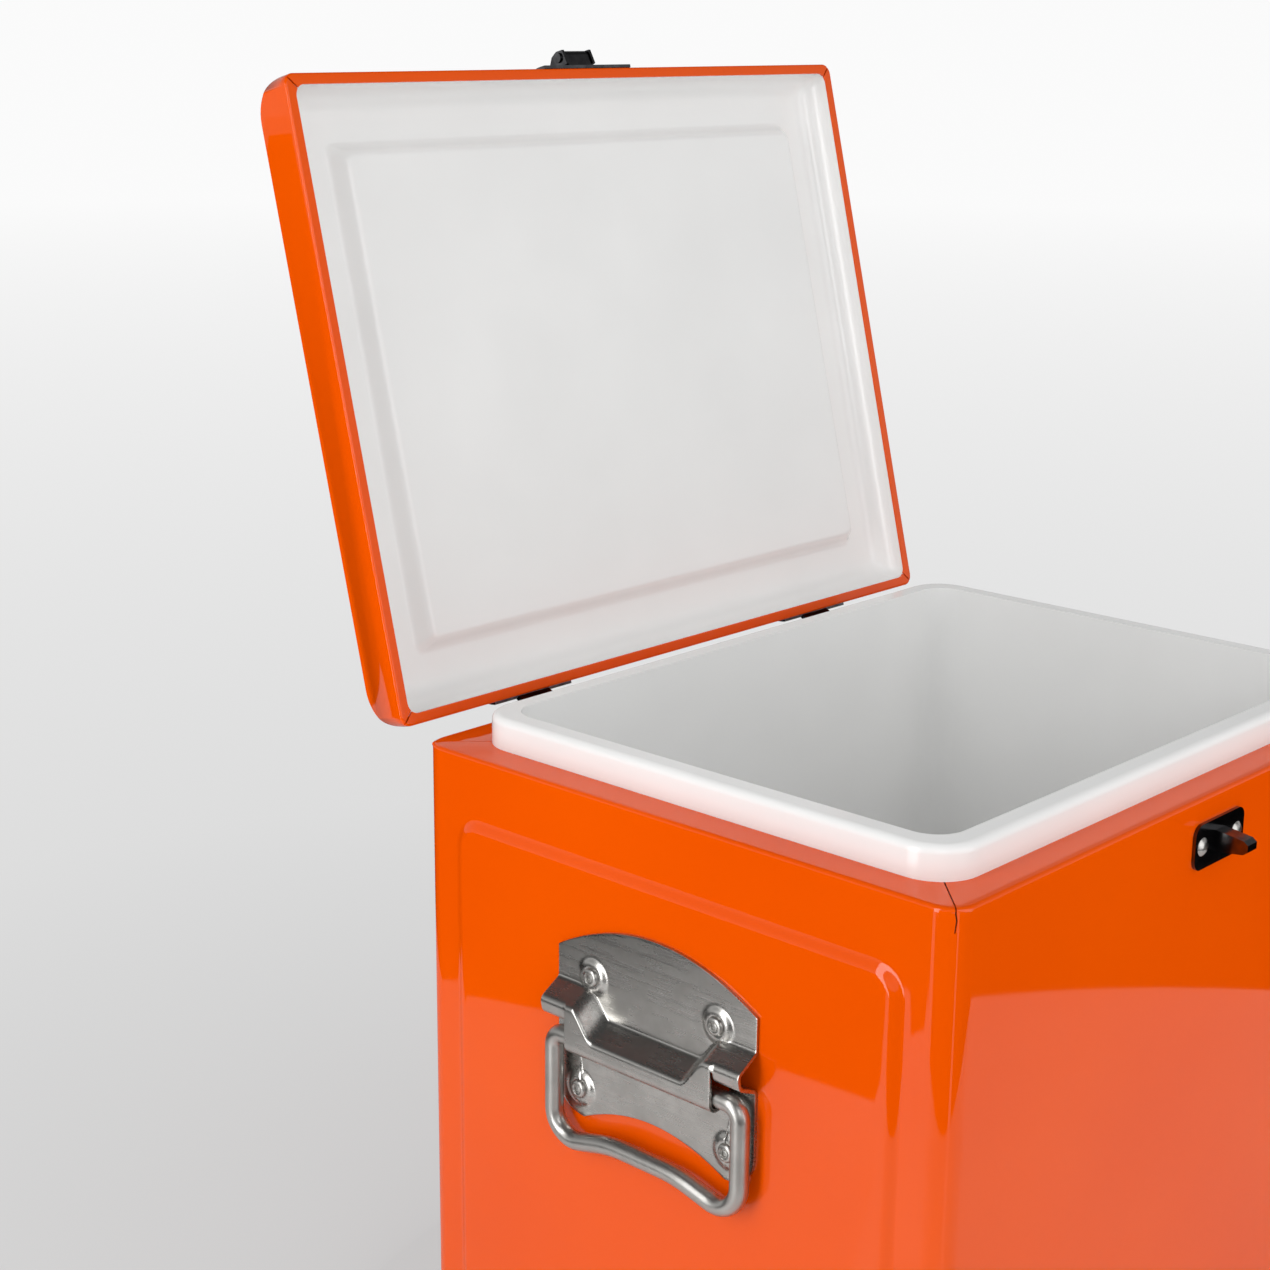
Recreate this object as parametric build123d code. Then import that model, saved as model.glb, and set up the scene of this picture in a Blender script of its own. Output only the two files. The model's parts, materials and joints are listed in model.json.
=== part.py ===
from build123d import *
import math
import os

# Steel cooler chest with a rear-hinged lid, drop handles and a front hasp.
# Millimetres, +Z up, +X to the right, the front faces -Y.
# The origin is on the floor, under the middle of the cabinet.
# The lid is drawn closed and then turned to where it stands open at rest.

# Cabinet
body_width = 374.0
body_depth = 285.0
shell_height = 345.0
foot_height = 10.0
sheet = 1.0
corner_radius = 11.0
top_corner_radius = 5.0
corner_blend = 12.0
flange_width = 23.5
flange_bend = 1.6
mitre_gap = 0.4
slit_length = 7.5
slit_width = 1.3
seat_gap = 0.2

# Raised panel pressed out of each side
panel_margin_y = 23.0
panel_margin_z = 29.0
panel_rise = 2.5
panel_corner = 14.0

# Plastic liner
liner_wall = 2.5
rim_inset = 16.0
rim_width = 10.5
rim_height = 14.0
rim_corner = 19.0
rim_edge_radius = 3.5
liner_draft = 4.5
liner_corner_top = 14.0
liner_corner_bottom = 11.0
liner_floor_radius = 5.0
floor_foam = 31.0

# Base
pan_lip = 12.0
foot_radius = 14.0
foot_taper = 2.0
foot_inset = 38.0
foot_recess_radius = 6.0
foot_recess_depth = 4.0

# Lid
lid_overhang = 1.5
lid_height = 21.0
lid_gap = 0.5
lid_edge_radius = 18.0
lid_corner_radius = 5.5
lid_hem = 5.0
lid_notch = 0.8
lid_liner_wall = 2.0
cove_start = 5.3
cove_depth = 15.5
cove_end = 17.0
lid_channel_end = 29.0
lid_panel_inset = 33.0
lid_panel_depth = 8.5
lid_panel_edge = 2.0
open_angle = 104.0

# Rear hinges
hinge_spread = 210.0
hinge_length = 50.0
hinge_axis_out = 7.5
hinge_axis_drop = 1.5
knuckle_radius = 3.6
knuckle_length = 20.0
knuckle_gap = 0.3
leaf_thickness = 1.6
leaf_height = 28.0
leaf_arc = 62.0
leaf_rivet_spread = 32.0
leaf_rivet_angle = 40.0
hinge_pin_radius = 1.75
pin_clearance = 0.05
pin_head = 1.0
crank_thickness = 2.2

# Drop handles
handle_drop = 104.5
plate_width = 108.4
plate_thickness = 1.5
plate_arch_top = 52.7
plate_shoulder = 36.6
plate_bottom = 38.0
plate_lower_arch = 28.0
lobe_width = 30.0
bead_end_root = 22.3
bead_end_crest = 14.2
bead_end_foot = 3.0
bead_mid_root = 10.5
bead_mid_crest = 3.4
bead_mid_half = 24.0
bead_jog_half = 38.0
strap_half = 40.4
bead_bend = 2.4
wire_radius = 4.0
wire_clearance = 0.3
wire_out = 9.5
bail_half = 51.5
bail_drop = 50.5
bail_bow = 8.5
bail_bow_half = 18.0
bail_pivot_end = 30.0
bail_top_bend = 6.5
bail_bottom_bend = 12.0
bail_bow_bend = 60.0
dimple_radius = 8.5
dimple_top = 5.5
dimple_rise = 1.2
upper_rivet_half = 34.2
upper_rivet_z = 27.5
lower_rivet_half = 41.0
lower_rivet_z = -25.2

# Blind rivets and screws
rivet_radius = 2.4
rivet_head_radius = 4.0
rivet_head_height = 1.6
rivet_tail_radius = 3.2
rivet_tail_length = 2.5
rivet_clearance = 0.05
curved_seat = 0.35
mandrel_hole = 0.9

# Hasp on the lid and its keeper on the cabinet
base_width = 60.0
base_sheet = 1.5
base_high = 50.0
base_rivet_half = 22.0
base_rivet_angle = 20.0
hasp_pin_angle = 15.0
hasp_pin_stand = 6.5
hasp_pin_radius = 1.5
boss_half = 7.9
boss_radius = 3.2
hasp_width = 20.0
hasp_sheet = 1.5
hasp_offset = 4.3
hasp_length = 40.0
hasp_strap_start = 4.8
hasp_flange_back = 4.0
hasp_flange_reach = 11.0
hasp_window_width = 10.0
hasp_window_top = 26.0
hasp_window_bottom = 36.0
hasp_lip = 7.0
hasp_swing = 195.0
keeper_width = 40.0
keeper_height = 20.0
keeper_rivet_half = 14.0
nose_width = 7.6
nose_height = 6.0
nose_beyond = 2.0

# Drain low on the right side
drain_z = 62.0
drain_bore = 6.0
drain_tube = 8.0
drain_flange_radius = 12.0
drain_flange = 2.0
drain_gasket_thickness = 1.2
drain_nut_radius = 10.5
drain_nut = 4.5
plug_length = 16.0
plug_knob_radius = 10.0
plug_knob = 7.0
plug_grip_count = 10

# Levels and places worked out from the sizes above
shell_bottom = foot_height
shell_top = shell_bottom + shell_height
rim_top = shell_top + rim_height
cavity_floor = shell_bottom + sheet + floor_foam + liner_wall
liner_outer_inset = rim_inset + rim_width - liner_wall
side_x = body_width / 2
front_y = -body_depth / 2
rear_y = body_depth / 2
panel_x = side_x + panel_rise
lid_z = shell_top + lid_gap
lid_width = body_width + 2 * lid_overhang
lid_depth = body_depth + 2 * lid_overhang
lid_rear = lid_depth / 2
lid_arc_y = lid_rear - lid_edge_radius
lid_arc_z = lid_z + lid_height - lid_edge_radius
hinge_y = rear_y + hinge_axis_out
hinge_z = shell_top - hinge_axis_drop
hinge_axis = Axis((0, hinge_y, hinge_z), (1, 0, 0))
handle_z = shell_top - handle_drop
hasp_reach = lid_edge_radius + base_sheet + hasp_pin_stand
hasp_y = -lid_arc_y - hasp_reach * math.cos(math.radians(hasp_pin_angle))
hasp_z = lid_arc_z + hasp_reach * math.sin(math.radians(hasp_pin_angle))
hasp_axis = Axis((0, hasp_y, hasp_z), (1, 0, 0))
rivet_hole = rivet_radius + rivet_clearance


def slab(inset, radius, low, high):
    """A rounded block, inset from the cabinet's outline, between two levels."""
    face = RectangleRounded(body_width - 2 * inset, body_depth - 2 * inset, radius)
    return Pos(0, 0, low) * extrude(face, high - low)


def tub(inset_low, radius_low, low, inset_high, radius_high, high):
    """A block with drafted sides, as a moulded tub has."""
    lower = RectangleRounded(body_width - 2 * inset_low, body_depth - 2 * inset_low, radius_low)
    upper = RectangleRounded(body_width - 2 * inset_high, body_depth - 2 * inset_high, radius_high)
    return loft([Pos(0, 0, low) * lower, Pos(0, 0, high) * upper])


def rod(radius, start, direction, length):
    """A round bar from a start point along a direction."""
    plane = Plane(origin=start, z_dir=direction)
    return plane * extrude(Circle(radius), length)


def bar_x(radius, x_low, x_high, y, z):
    """A round bar along X."""
    return rod(radius, (x_low, y, z), (1, 0, 0), x_high - x_low)


def mirrored(shape):
    """The same piece on the other side of the cabinet."""
    return mirror(shape, about=Plane.YZ)


def lid_pose(shape):
    """Turns a lid piece from closed to where it stands open."""
    return shape.rotate(hinge_axis, -open_angle)


def hasp_pose(shape):
    """Swings the hasp from latched to flipped back, and on with the lid."""
    return lid_pose(shape.rotate(hasp_axis, -hasp_swing))


def blind_rivet(seat, direction, grip):
    """A domed rivet: its head on the seat, its tail behind the metal it grips."""
    plane = Plane(origin=seat, z_dir=direction)
    dome = (rivet_head_radius ** 2 + rivet_head_height ** 2) / (2 * rivet_head_height)
    ball = Pos(0, 0, rivet_head_height - dome) * Sphere(dome)
    head = ball & Pos(0, 0, rivet_head_height / 2) * Cylinder(rivet_head_radius * 2, rivet_head_height)
    shank = Pos(0, 0, -grip) * extrude(Circle(rivet_radius), grip + rivet_head_height / 4)
    tail = Pos(0, 0, -grip - rivet_tail_length) * extrude(Circle(rivet_tail_radius), rivet_tail_length)
    bore = Pos(0, 0, rivet_head_height / 2) * extrude(Circle(mandrel_hole), rivet_head_height)
    return plane * (head + shank + tail - bore)


def rivet_drill(seat, direction, depth):
    """The hole that a rivet's shank passes through."""
    return rod(rivet_hole, Vector(*seat) + Vector(*direction) * 0.01, Vector(*direction) * -1, depth)


def rivet_pocket(seat, direction, grip):
    """The hollow in the foam round a rivet's tail."""
    start = Vector(*seat) - Vector(*direction) * grip / 2
    depth = grip / 2 + curved_seat + rivet_tail_length + seat_gap
    return rod(rivet_tail_radius + seat_gap, start, Vector(*direction) * -1, depth)


def compound(solids):
    """Several separate solids in one node."""
    return Compound(children=[part.solid() for part in solids])


def handle_point(out, y, z):
    """A point of the left handle, out from the side's sheet and up from the pivot."""
    return (-side_x - out, y, handle_z + z)


def handle_rivet_seats():
    """Where the four rivets sit on each handle plate's dimples."""
    out = panel_rise + plate_thickness + dimple_rise
    return [handle_point(out, side * half, z)
            for half, z in ((upper_rivet_half, upper_rivet_z), (lower_rivet_half, lower_rivet_z))
            for side in (1, -1)]


handle_grip = dimple_rise + plate_thickness + sheet


def hinge_places():
    """The middle of each rear hinge along X."""
    return [-hinge_spread / 2, hinge_spread / 2]


def leaf_rivet_seats():
    """Rivet seats of all body leaves, low on the rear wall."""
    z = hinge_z - leaf_height * 0.7
    return [(x + side * leaf_rivet_spread / 2, rear_y + leaf_thickness, z)
            for x in hinge_places() for side in (-1, 1)]


def on_lid_edge(radius_out, angle, rear):
    """A point above the lid's rounded front or rear edge, by its angle there."""
    reach = lid_edge_radius + radius_out
    sign = 1 if rear else -1
    a = math.radians(angle)
    return (sign * (lid_arc_y + reach * math.cos(a)), lid_arc_z + reach * math.sin(a))


def lid_leaf_rivets():
    """Seat and direction of each rivet in the curved lid leaves."""
    y, z = on_lid_edge(leaf_thickness, leaf_rivet_angle, True)
    a = math.radians(leaf_rivet_angle)
    return [((x + side * leaf_rivet_spread / 2, y, z), (0, math.cos(a), math.sin(a)))
            for x in hinge_places() for side in (-1, 1)]


def base_rivets():
    """Seat and direction of each rivet in the hasp's base."""
    y, z = on_lid_edge(base_sheet, base_rivet_angle, False)
    a = math.radians(base_rivet_angle)
    return [((side * base_rivet_half, y, z), (0, -math.cos(a), math.sin(a))) for side in (-1, 1)]


def keeper_level():
    """Height of the keeper's nose, level with the window of the latched hasp."""
    return hasp_z - (hasp_window_top + hasp_window_bottom) / 2


def keeper_rivet_seats():
    return [(side * keeper_rivet_half, front_y - base_sheet, keeper_level()) for side in (-1, 1)]


def raised_panel(shift):
    """The pressed panel of the left side, moved in by shift."""
    width = body_depth - 2 * panel_margin_y
    height = shell_height - 2 * panel_margin_z
    place = Plane(origin=(-side_x + shift, 0, shell_bottom + shell_height / 2), x_dir=(0, -1, 0), z_dir=(-1, 0, 0))
    foot = RectangleRounded(width, height, panel_corner)
    top = RectangleRounded(width - 2 * panel_rise, height - 2 * panel_rise, panel_corner - panel_rise)
    return place * loft([foot, Pos(0, 0, panel_rise) * top])


def corner_cuts():
    """The mitre joint of the flange and the relief slit below it, at each corner."""
    cuts = []
    for sx in (-1, 1):
        for sy in (-1, 1):
            corner = (sx * side_x, sy * rear_y, shell_top)
            inward = Vector(-sx, -sy, 0).normalized()
            joint = Plane(origin=corner, x_dir=inward, z_dir=(0, 0, 1))
            reach = (flange_width + corner_radius) * math.sqrt(2)
            cuts.append(joint * Pos(reach / 2 - 2, 0, 0) * Box(reach, mitre_gap, 2 * sheet + 0.6))
            slit = Plane(origin=(corner[0], corner[1], shell_top - slit_length * 0.75),
                         x_dir=(0, 0, 1), z_dir=inward)
            cuts.append(slit * extrude(Ellipse(slit_length / 2, slit_width / 2), corner_radius))
    return cuts


def make_body_shell():
    straight_top = shell_top - corner_blend
    outer = slab(0, corner_radius, shell_bottom, straight_top)
    outer += tub(0, corner_radius, straight_top, 0, top_corner_radius, shell_top)
    rim_edges = outer.edges().filter_by_position(Axis.Z, shell_top - 0.01, shell_top + 0.01)
    outer = fillet(rim_edges, flange_bend)
    inner = slab(sheet, corner_radius - sheet, shell_bottom, straight_top)
    inner += tub(sheet, corner_radius - sheet, straight_top, sheet, top_corner_radius - sheet, shell_top - sheet)
    mouth = slab(flange_width, liner_corner_top, shell_top - 2 * sheet, shell_top + sheet)
    left = raised_panel(0)
    left_hollow = raised_panel(sheet)
    shell = outer + left + mirrored(left) - inner - left_hollow - mirrored(left_hollow) - mouth
    for cut in corner_cuts():
        shell -= cut
    for seat in handle_rivet_seats():
        drill = rivet_drill(seat, (-1, 0, 0), handle_grip + 2 * panel_rise)
        shell = shell - drill - mirrored(drill)
    for seat in leaf_rivet_seats():
        shell -= rivet_drill(seat, (0, 1, 0), leaf_thickness + 2 * sheet)
    for seat in keeper_rivet_seats():
        shell -= rivet_drill(seat, (0, -1, 0), base_sheet + 2 * sheet)
    shell -= bar_x(drain_tube + pin_clearance, side_x - 4 * sheet, panel_x + sheet, 0, drain_z)
    return shell


def make_bottom_pan():
    play = sheet + pin_clearance
    pan = slab(play, corner_radius - play, shell_bottom, shell_bottom + sheet + pan_lip)
    pan -= slab(play + sheet, corner_radius - play - sheet, shell_bottom + sheet, shell_bottom + 2 * pan_lip)
    for x, y in foot_places():
        pan -= Pos(x, y, shell_bottom) * Cylinder(rivet_hole, 4 * sheet)
    return pan


def liner_envelope(extra):
    """The liner's outside below the flange, grown by extra."""
    low = cavity_floor - liner_wall - extra
    body = tub(liner_outer_inset + liner_draft - extra, liner_corner_bottom + liner_wall + extra, low,
               liner_outer_inset - extra, liner_corner_top + liner_wall + extra, shell_top)
    return fillet(body.faces().sort_by(Axis.Z)[0].edges(), liner_floor_radius)


def make_inner_liner():
    cavity = tub(rim_inset + rim_width + liner_draft, liner_corner_bottom, cavity_floor,
                 rim_inset + rim_width, liner_corner_top, rim_top)
    cavity = fillet(cavity.faces().sort_by(Axis.Z)[0].edges(), liner_floor_radius)
    rim = slab(rim_inset, rim_corner, shell_top, rim_top)
    rim = fillet(rim.faces().sort_by(Axis.Z)[-1].edges(), rim_edge_radius)
    groove = slab(rim_inset + liner_wall, rim_corner - liner_wall, shell_top, rim_top - liner_wall)
    groove -= slab(liner_outer_inset, liner_corner_top + liner_wall, shell_top, rim_top)
    liner = rim - groove + liner_envelope(0) - cavity
    return liner - bar_x(drain_tube + pin_clearance, 0, side_x, 0, drain_z)


def make_body_insulation():
    pan_level = shell_bottom + sheet + pan_lip + seat_gap
    inner = sheet + seat_gap
    low = slab(inner + sheet + seat_gap, corner_radius - inner - sheet, shell_bottom + sheet + seat_gap, pan_level)
    high = slab(inner, corner_radius - inner, pan_level, shell_top - sheet - seat_gap)
    foam = low + high - liner_envelope(seat_gap)
    for seat in handle_rivet_seats():
        pocket = rivet_pocket(seat, (-1, 0, 0), handle_grip + panel_rise)
        foam = foam - pocket - mirrored(pocket)
    for seat in leaf_rivet_seats():
        foam -= rivet_pocket(seat, (0, 1, 0), leaf_thickness + sheet)
    for seat in keeper_rivet_seats():
        foam -= rivet_pocket(seat, (0, -1, 0), base_sheet + sheet)
    for x, y in foot_places():
        foam -= Pos(x, y, shell_bottom) * Cylinder(rivet_tail_radius + seat_gap, 2 * foot_height)
    return foam - bar_x(drain_tube + seat_gap, 0, side_x, 0, drain_z)


def foot_places():
    x = side_x - foot_inset
    y = rear_y - foot_inset
    return [(-x, -y), (x, -y), (-x, y), (x, y)]


def make_foot(x, y):
    foot = loft([Circle(foot_radius - foot_taper), Pos(0, 0, foot_height) * Circle(foot_radius)])
    foot -= extrude(Circle(foot_recess_radius), foot_recess_depth)
    foot -= extrude(Circle(rivet_hole), foot_height)
    return Pos(x, y, 0) * foot


def make_foot_screw(x, y):
    head_height = foot_recess_depth * 0.6
    head = Pos(0, 0, foot_recess_depth - head_height) * extrude(Circle(rivet_head_radius), head_height)
    shank = Pos(0, 0, foot_recess_depth) * extrude(Circle(rivet_radius), foot_height)
    slot = Pos(0, 0, foot_recess_depth - head_height) * Box(2 * rivet_head_radius, sheet, head_height)
    return Pos(x, y, 0) * (head + shank - slot)


def bent_line(corners, radii):
    """An open line through corners, each bend an arc of its own radius."""
    return FilletPolyline(*corners, radius=radii)


def offset_corners(corners, distance):
    """The corners of the same line moved sideways, joined by mitres."""
    def normal(a, b):
        dx, dz = b[0] - a[0], b[1] - a[1]
        length = math.hypot(dx, dz)
        return dz / length, -dx / length
    moved = []
    for i, (x, z) in enumerate(corners):
        before = normal(corners[i - 1], corners[i]) if i else normal(corners[0], corners[1])
        after = normal(corners[i], corners[i + 1]) if i + 1 < len(corners) else before
        sx, sz = before[0] + after[0], before[1] + after[1]
        scale = 2 * distance / (sx * sx + sz * sz)
        moved.append((x + sx * scale, z + sz * scale))
    return moved


def strip(corners, radii, outward_bends):
    """A bent sheet's section: its front line, its back line and the two ends."""
    back = offset_corners(corners, plate_thickness)
    front_radii = [r + (plate_thickness if out else 0) for r, out in zip(radii, outward_bends)]
    back_radii = [r + (0 if out else plate_thickness) for r, out in zip(radii, outward_bends)]
    front_line = bent_line(corners, front_radii)
    back_line = bent_line(back, back_radii)
    ends = [Line(front_line @ 1, back_line @ 1), Line(back_line @ 0, front_line @ 0)]
    return make_face([front_line, back_line] + ends)


plate_front = panel_rise + plate_thickness
strap_front = wire_out + wire_radius + wire_clearance + plate_thickness
barrel_radius = wire_radius + wire_clearance + plate_thickness
root_run = 2.5


def strap_section(root, crest):
    """Section of the bead that wraps the bail's pivot, (out, up) from the pivot."""
    corners = [(plate_front, root + root_run), (plate_front, root), (strap_front, crest),
               (strap_front, -barrel_radius), (plate_front, -barrel_radius), (plate_front, -barrel_radius - root_run)]
    bends = [bead_bend / 2, bead_bend, wire_radius + wire_clearance, bead_bend / 3]
    return strip(corners, bends, [False, True, True, False])


def ear_section():
    """Section of the bead at its two ends, over the bail's corners."""
    under = (bead_end_crest + bead_end_foot) / 2
    corners = [(plate_front, bead_end_root + root_run), (plate_front, bead_end_root), (strap_front, bead_end_crest),
               (strap_front - bead_bend, under), (plate_front, bead_end_foot),
               (plate_front, bead_end_foot - root_run)]
    bends = [bead_bend / 2, bead_bend / 2, bead_bend / 2, bead_bend / 2]
    return strip(corners, bends, [False, True, True, False])


def on_handle(face, y):
    """Places an (out, up) section of the left handle at a distance along Y."""
    plane = Plane(origin=(-side_x, y, handle_z), x_dir=(-1, 0, 0), z_dir=(0, 1, 0))
    return plane * face


def handle_outline():
    """The flat plate's outline, (y, up) from the pivot: arched top, two lower lobes."""
    half = plate_width / 2
    top = ThreePointArc((-half, plate_shoulder), (0, plate_arch_top), (half, plate_shoulder))
    right = Line((half, plate_shoulder), (half, lower_rivet_z))
    lobe = half - lobe_width
    r_turn = ThreePointArc((half, lower_rivet_z), (half - lobe_width / 4, -plate_bottom + 2.5),
                           (half - lobe_width / 2, -plate_bottom))
    arch = ThreePointArc((half - lobe_width / 2, -plate_bottom), (0, -plate_lower_arch),
                         (-half + lobe_width / 2, -plate_bottom))
    l_turn = ThreePointArc((-half + lobe_width / 2, -plate_bottom), (-half + lobe_width / 4, -plate_bottom + 2.5),
                           (-half, lower_rivet_z))
    left = Line((-half, lower_rivet_z), (-half, plate_shoulder))
    return make_face([top, right, r_turn, arch, l_turn, left])


def bead_opening():
    """The stretch of flat plate that the bead takes up."""
    lap = root_run / 2
    low_mid = -barrel_radius - lap
    low_end = bead_end_foot - lap
    half = plate_width
    points = [(-half, bead_end_root + lap), (-bead_jog_half, bead_end_root + lap), (-bead_mid_half, bead_mid_root + lap),
              (bead_mid_half, bead_mid_root + lap), (bead_jog_half, bead_end_root + lap), (half, bead_end_root + lap),
              (half, low_end), (strap_half, low_end), (strap_half, low_mid), (-strap_half, low_mid),
              (-strap_half, low_end), (-half, low_end)]
    return make_face(Polyline(*points, close=True))


def make_handle_plate():
    flat = extrude(handle_outline() - bead_opening(), plate_thickness)
    place = Plane(origin=(-side_x - panel_rise, 0, handle_z), x_dir=(0, -1, 0), z_dir=(-1, 0, 0))
    plate = place * flat
    mid = strap_section(bead_mid_root, bead_mid_crest)
    end = strap_section(bead_end_root, bead_end_crest)
    plate += loft([on_handle(mid, -bead_mid_half), on_handle(mid, bead_mid_half)], ruled=True)
    for side in (-1, 1):
        plate += loft([on_handle(mid, side * bead_mid_half), on_handle(end, side * bead_jog_half)], ruled=True)
        plate += loft([on_handle(end, side * bead_jog_half), on_handle(end, side * strap_half)], ruled=True)
        ear = ear_section()
        plate += loft([on_handle(ear, side * strap_half), on_handle(ear, side * plate_width / 2)], ruled=True)
    for seat in handle_rivet_seats():
        centre = Vector(*seat)
        dimple = Plane(origin=centre + Vector(dimple_rise, 0, 0), z_dir=(-1, 0, 0))
        plate += dimple * loft([Circle(dimple_radius), Pos(0, 0, dimple_rise) * Circle(dimple_top)])
        plate -= rivet_drill(seat, (-1, 0, 0), handle_grip + panel_rise)
    return plate


def make_bail():
    drop = -bail_drop
    bow = drop + bail_bow
    corners = [(bail_pivot_end, 0), (bail_half, 0), (bail_half, drop), (bail_bow_half, bow),
               (-bail_bow_half, bow), (-bail_half, drop), (-bail_half, 0), (-bail_pivot_end, 0)]
    points = [handle_point(wire_out, y, z) for y, z in corners]
    radii = [bail_top_bend, bail_bottom_bend, bail_bow_bend, bail_bow_bend, bail_bottom_bend, bail_top_bend]
    path = FilletPolyline(*points, radius=radii)
    return sweep(Plane(origin=points[0], z_dir=(0, 1, 0)) * Circle(wire_radius), path=path)


def lid_block(inset, low):
    """The lid's outline inset all round: rounded front and rear edges, upright sides."""
    height = lid_z + lid_height - inset - low
    side = Rectangle(lid_depth - 2 * inset, height)
    top = side.vertices().sort_by(Axis.Y)[-2:]
    side = fillet(top, lid_edge_radius - inset)
    place = Plane(origin=(0, 0, low + height / 2), x_dir=(0, 1, 0), z_dir=(1, 0, 0))
    block = place * extrude(side, lid_width / 2 - inset, both=True)
    plan = RectangleRounded(lid_width - 2 * inset, lid_depth - 2 * inset, lid_corner_radius - inset)
    return block & (Pos(0, 0, low) * extrude(plan, height))


def lid_frame(inset, radius, z):
    """A rounded rectangle, inset from the lid's outline, at a level."""
    return Pos(0, 0, z) * RectangleRounded(lid_width - 2 * inset, lid_depth - 2 * inset, radius)


def make_lid_shell():
    shell = lid_block(0, lid_z) - lid_block(sheet, lid_z + sheet)
    shell -= extrude(lid_frame(lid_hem, lid_corner_radius, lid_z), sheet)
    for sx in (-1, 1):
        for sy in (-1, 1):
            inward = Vector(-sx, -sy, 0).normalized()
            corner = Plane(origin=(sx * lid_width / 2, sy * lid_depth / 2, lid_z), x_dir=inward, z_dir=(0, 0, 1))
            reach = (lid_hem + lid_corner_radius) * math.sqrt(2)
            shell -= corner * Pos(reach / 2, 0, 0) * Box(reach, lid_notch, 2 * sheet + 0.1)
    for seat, direction in lid_leaf_rivets():
        shell -= rivet_drill(seat, direction, leaf_thickness + 2 * sheet)
    for seat, direction in base_rivets():
        shell -= rivet_drill(seat, direction, base_sheet + 2 * sheet)
    return lid_pose(shell)


lid_liner_back = cove_depth + lid_liner_wall


def make_lid_liner():
    skin = sheet + seat_gap
    blank = lid_block(skin, lid_z + sheet) & extrude(lid_frame(0, lid_corner_radius, lid_z), lid_liner_back)
    mouth = lid_frame(cove_start, lid_corner_radius, lid_z)
    lip = lid_frame(cove_start, lid_corner_radius, lid_z + sheet + lid_liner_wall / 2)
    middle = lid_frame(cove_start + (cove_end - cove_start) * 0.3, lid_corner_radius + 1,
                       lid_z + sheet + (cove_depth - sheet) * 0.6)
    bed = lid_frame(cove_end, lid_corner_radius + 3, lid_z + cove_depth)
    hollow = loft([mouth, lip], ruled=True) + loft([lip, middle], ruled=True) + loft([middle, bed], ruled=True)
    rise = loft([lid_frame(lid_panel_inset, lid_corner_radius, lid_z + lid_panel_depth),
                 lid_frame(lid_channel_end, lid_corner_radius + 3, lid_z + cove_depth)])
    rise = fillet(rise.faces().sort_by(Axis.Z)[0].edges(), lid_panel_edge)
    liner = blank - (hollow - rise)
    pocket_inset = lid_panel_inset + lid_liner_wall
    pocket_low = lid_z + lid_panel_depth + lid_liner_wall
    liner -= extrude(lid_frame(pocket_inset, lid_corner_radius, pocket_low), lid_liner_back - lid_panel_depth)
    for seat, direction in lid_leaf_rivets() + base_rivets():
        liner -= rivet_pocket(seat, direction, leaf_thickness + sheet)
    return lid_pose(liner)


def make_lid_insulation():
    skin = sheet + seat_gap
    cap_low = lid_z + lid_liner_back + seat_gap
    cap = lid_block(skin, lid_z + sheet) & extrude(lid_frame(0, lid_corner_radius, cap_low), lid_height)
    pocket_inset = lid_panel_inset + lid_liner_wall + seat_gap
    plug_low = lid_z + lid_panel_depth + lid_liner_wall + seat_gap
    plug = extrude(lid_frame(pocket_inset, lid_corner_radius - seat_gap, plug_low), lid_liner_back - lid_panel_depth)
    foam = cap + plug
    for seat, direction in lid_leaf_rivets() + base_rivets():
        foam -= rivet_pocket(seat, direction, leaf_thickness + sheet)
    return lid_pose(foam)


def knuckle_spans(middle):
    """Spans along X of the middle knuckle, or of the two beside it."""
    half = knuckle_length / 2
    if middle:
        return [(-half, half)]
    end = hinge_length / 2
    return [(-end, -half - knuckle_gap), (half + knuckle_gap, end)]


def crank(y_from, z_from, y_to, z_to):
    """A short flat web between two points of the hinge's section."""
    run = math.hypot(y_to - y_from, z_to - z_from)
    angle = math.degrees(math.atan2(z_to - z_from, y_to - y_from))
    middle = ((y_from + y_to) / 2, (z_from + z_to) / 2)
    return Pos(*middle) * Rot(0, 0, angle) * Rectangle(run, crank_thickness)


def along_x(face, low, high):
    """Extrudes a (y, z) section between two places along X."""
    return Plane(origin=(low, 0, 0), x_dir=(0, 1, 0), z_dir=(1, 0, 0)) * extrude(face, high - low)


def make_body_leaf(x):
    leaf_top = hinge_z - knuckle_radius
    leaf_y = rear_y + leaf_thickness / 2
    leaf = Pos(x, leaf_y, leaf_top - leaf_height / 2) * Box(hinge_length, leaf_thickness, leaf_height)
    for low, high in knuckle_spans(False):
        web = crank(leaf_y, leaf_top - crank_thickness, hinge_y, hinge_z)
        leaf += along_x(web, x + low, x + high)
        leaf += bar_x(knuckle_radius, x + low, x + high, hinge_y, hinge_z)
    leaf -= bar_x(hinge_pin_radius + pin_clearance, x - hinge_length, x + hinge_length, hinge_y, hinge_z)
    for seat in leaf_rivet_seats():
        leaf -= rivet_drill(seat, (0, 1, 0), 2 * leaf_thickness)
    return leaf


def edge_band(thickness, low, high, rear):
    """A (y, z) band wrapped over the lid's rounded edge between two angles."""
    sign = 1 if rear else -1
    ring = Circle(lid_edge_radius + thickness) - Circle(lid_edge_radius)
    far = 3 * lid_edge_radius
    def ray(angle):
        a = math.radians(angle)
        return (sign * far * math.cos(a), far * math.sin(a))
    wedge = make_face(Polyline((0, 0), ray(low), ray((low + high) / 2), ray(high), close=True))
    return Pos(sign * lid_arc_y, lid_arc_z) * (ring & wedge)


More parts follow.
